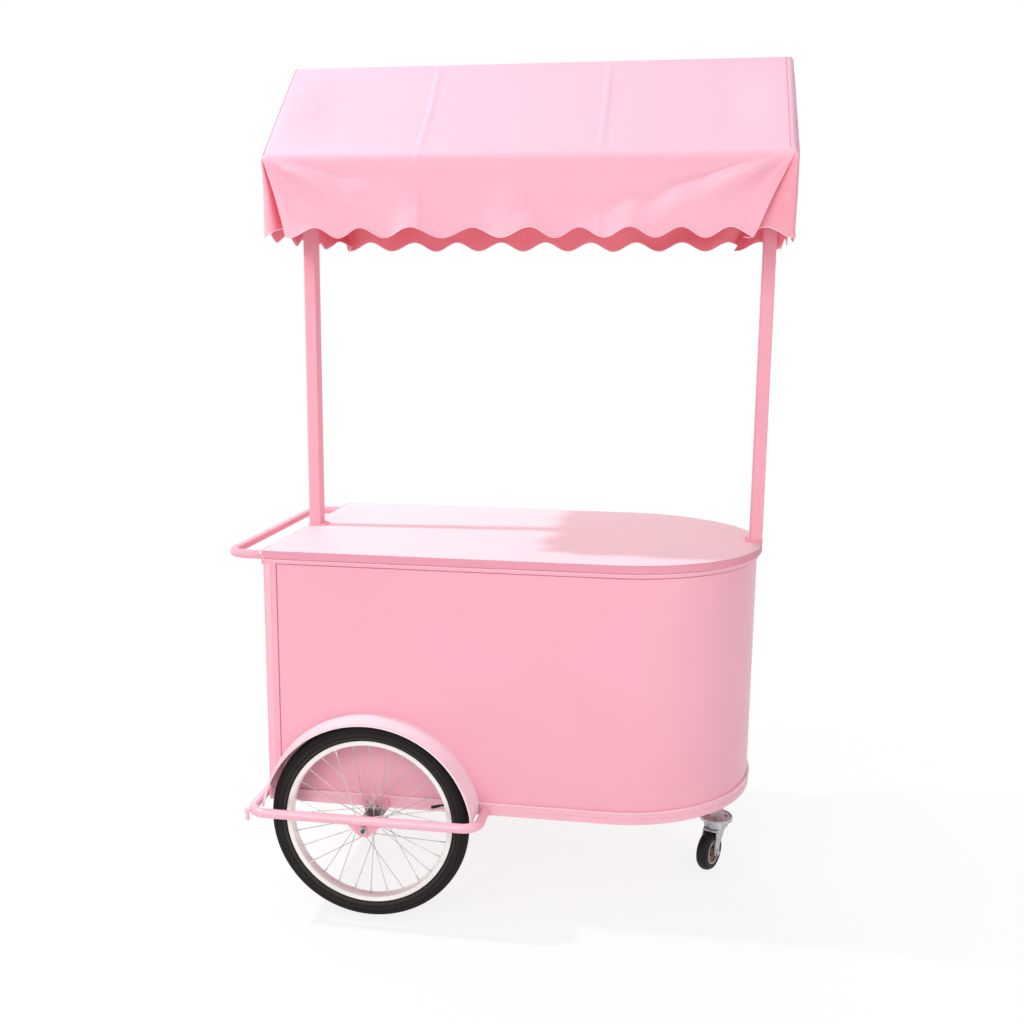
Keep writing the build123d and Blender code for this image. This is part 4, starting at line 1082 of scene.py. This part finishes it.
def frame_welds():
    """Painted welds where tubes meet plates."""
    bm = bmesh.new()
    bead = 0.0016
    handle_station, handle_y, handle_z, handle_radius = -0.004, 0.312, 0.845, 0.0108
    guard_y, guard_radius = 0.342, 0.0112
    mount_y, mount_half_width, mount_rise = 0.200, 0.018, Vector((0, 0, 0.007))
    hanger_y, hanger_top, hanger_run = 0.4422, 0.2462, Vector((0.034, 0, 0))
    post_stations, post_foot_top = (0.019, 1.146), 0.8662
    post_half_x, post_half_y = 0.015, 0.020
    for side in (-1, 1):
        handle_end = Vector((x_at(handle_station), side * handle_y, handle_z))
        weld_ring(bm, handle_end, Vector((-1, 0, 0)), handle_radius, bead)
        guard_end = Vector((x_at(guard_front), side * guard_y, guard_z))
        weld_ring(bm, guard_end, Vector((0, side, 0)), guard_radius, bead)
        for way in (-1, 1):
            mount = Vector((x_at(guard_rear + 0.0115), side * mount_y + way * mount_half_width, guard_z))
            weld_line(bm, mount - mount_rise, mount + mount_rise, bead)
        hanger = Vector((x_at(wheel_station), side * hanger_y, hanger_top))
        weld_line(bm, hanger - hanger_run, hanger + hanger_run, bead)
    for station in post_stations:
        corners = [Vector((x_at(station + along * post_half_x), across * post_half_y, post_foot_top))
                   for along, across in ((-1, -1), (1, -1), (1, 1), (-1, 1))]
        for first, second in zip(corners, corners[1:] + corners[:1]):
            weld_line(bm, first, second, bead)
    piece(bm, "frame_welds", tube_paint, "cart", 1.6)


def hinge_screws():
    """Countersunk screws in the fixed hinge leaves."""
    bm = bmesh.new()
    leaf_face = x_at(-0.0022)
    hinge_heights = (0.390, 0.710)
    leaf_screws = ((-0.022, 0.325), (0.0, 0.319), (0.022, 0.325))
    screw_head = (0.0030, 0.0009)
    for side in (-1, 1):
        for height in hinge_heights:
            for shift, out in leaf_screws:
                spot = Vector((leaf_face, side * out, height + shift))
                dome(bm, spot, Vector((-1, 0, 0)), *screw_head)
    piece(bm, "hinge_screws", bright_steel, "cart", 1.6)


band_rivets()
band_beads()
cover_strips()
panel_shadow_lines()
counter_edge_reflection_line()
fender_beads()
caster_rings()
frame_welds()
hinge_screws()


# Floor and light
cart_middle = Vector((0.0, 0.0, 1.0))
ambient = 0.40


def seen_straight(finish):
    """1 where the camera, a mirror or a clear piece looks straight at a surface."""
    rays = [finish.node("ShaderNodeLightPath", output=f"Is {kind} Ray")
            for kind in ("Camera", "Glossy", "Transmission")]
    return rays[0].at_least(rays[1]).at_least(rays[2])


def floor():
    """Pale floor that fades to plain white away from the cart and keeps its shadow."""
    bm = bmesh.new()
    floor_radius, floor_level = 9.0, -0.0006
    fade_start, fade_run = 0.6, 1.4
    bmesh.ops.create_circle(bm, cap_ends=True, segments=64, radius=floor_radius)
    bmesh.ops.translate(bm, verts=bm.verts[:], vec=(0, 0, floor_level))
    finish = Finish("floor_white", Roughness=0.85)
    where = finish.place()
    run, across = finish.parts(where, "X"), finish.parts(where, "Y")
    away = (run * run + across * across) ** 0.5
    fade = finish.ramp((away - fade_start) / fade_run, (0.0, 0.82), (1.0, 1.0))
    seen = seen_straight(finish)
    finish.out(Base_Color=finish.tint(seen, (0.80, 0.80, 0.80, 1.0), (0.95, 0.95, 0.95, 1.0)))
    glow = finish.node("ShaderNodeEmission", inputs={"Color": (1, 1, 1, 1), "Strength": 1.0})
    shaded = Signal(finish, finish.shader.outputs[0])
    mixed = finish.node("ShaderNodeMixShader", inputs={0: fade * seen, 1: shaded, 2: glow})
    finish.tree.links.new(mixed.socket, finish.tree.nodes["Material Output"].inputs["Surface"])
    made = add_object(bm, "studio_floor", finish)


class Sky(Finish):
    """The world's nodes, added in the same way as a finish's."""

    def __init__(self, world):
        world.use_nodes = True
        self.tree = world.node_tree
        self.back = self.tree.nodes["Background"]


def soft_lamp(name, place, width, height, power):
    """Rectangular lamp that points at the cart."""
    lamp = bpy.data.lights.new(name, "AREA")
    lamp.shape = "RECTANGLE"
    lamp.size = width
    lamp.size_y = height
    lamp.energy = power
    holder = bpy.data.objects.new(name, lamp)
    scene.collection.objects.link(holder)
    turn = (cart_middle - place).to_track_quat("-Z", "Y").to_matrix().to_4x4()
    holder.matrix_world = Matrix.Translation(place) @ turn


floor()
world = bpy.data.worlds.new("studio")
scene.world = world
sky = Sky(world)
sky.feed(sky.back.inputs["Color"], (1.0, 1.0, 1.0, 1.0))
sky.feed(sky.back.inputs["Strength"], ambient + seen_straight(sky) * (1 - ambient))
soft_lamp("front_softbox", Vector((-1.4, -4.0, 2.9)), 2.6, 2.0, 80.0)
soft_lamp("left_softbox", Vector((-3.4, -0.25, 4.7)), 0.15, 0.15, 145.0)
soft_lamp("fill_softbox", Vector((2.3, -2.3, 1.25)), 1.6, 2.0, 20.0)
soft_lamp("back_softbox", Vector((-0.4, 2.6, 2.6)), 2.6, 1.6, 46.0)
scene.view_settings.view_transform = "Standard"
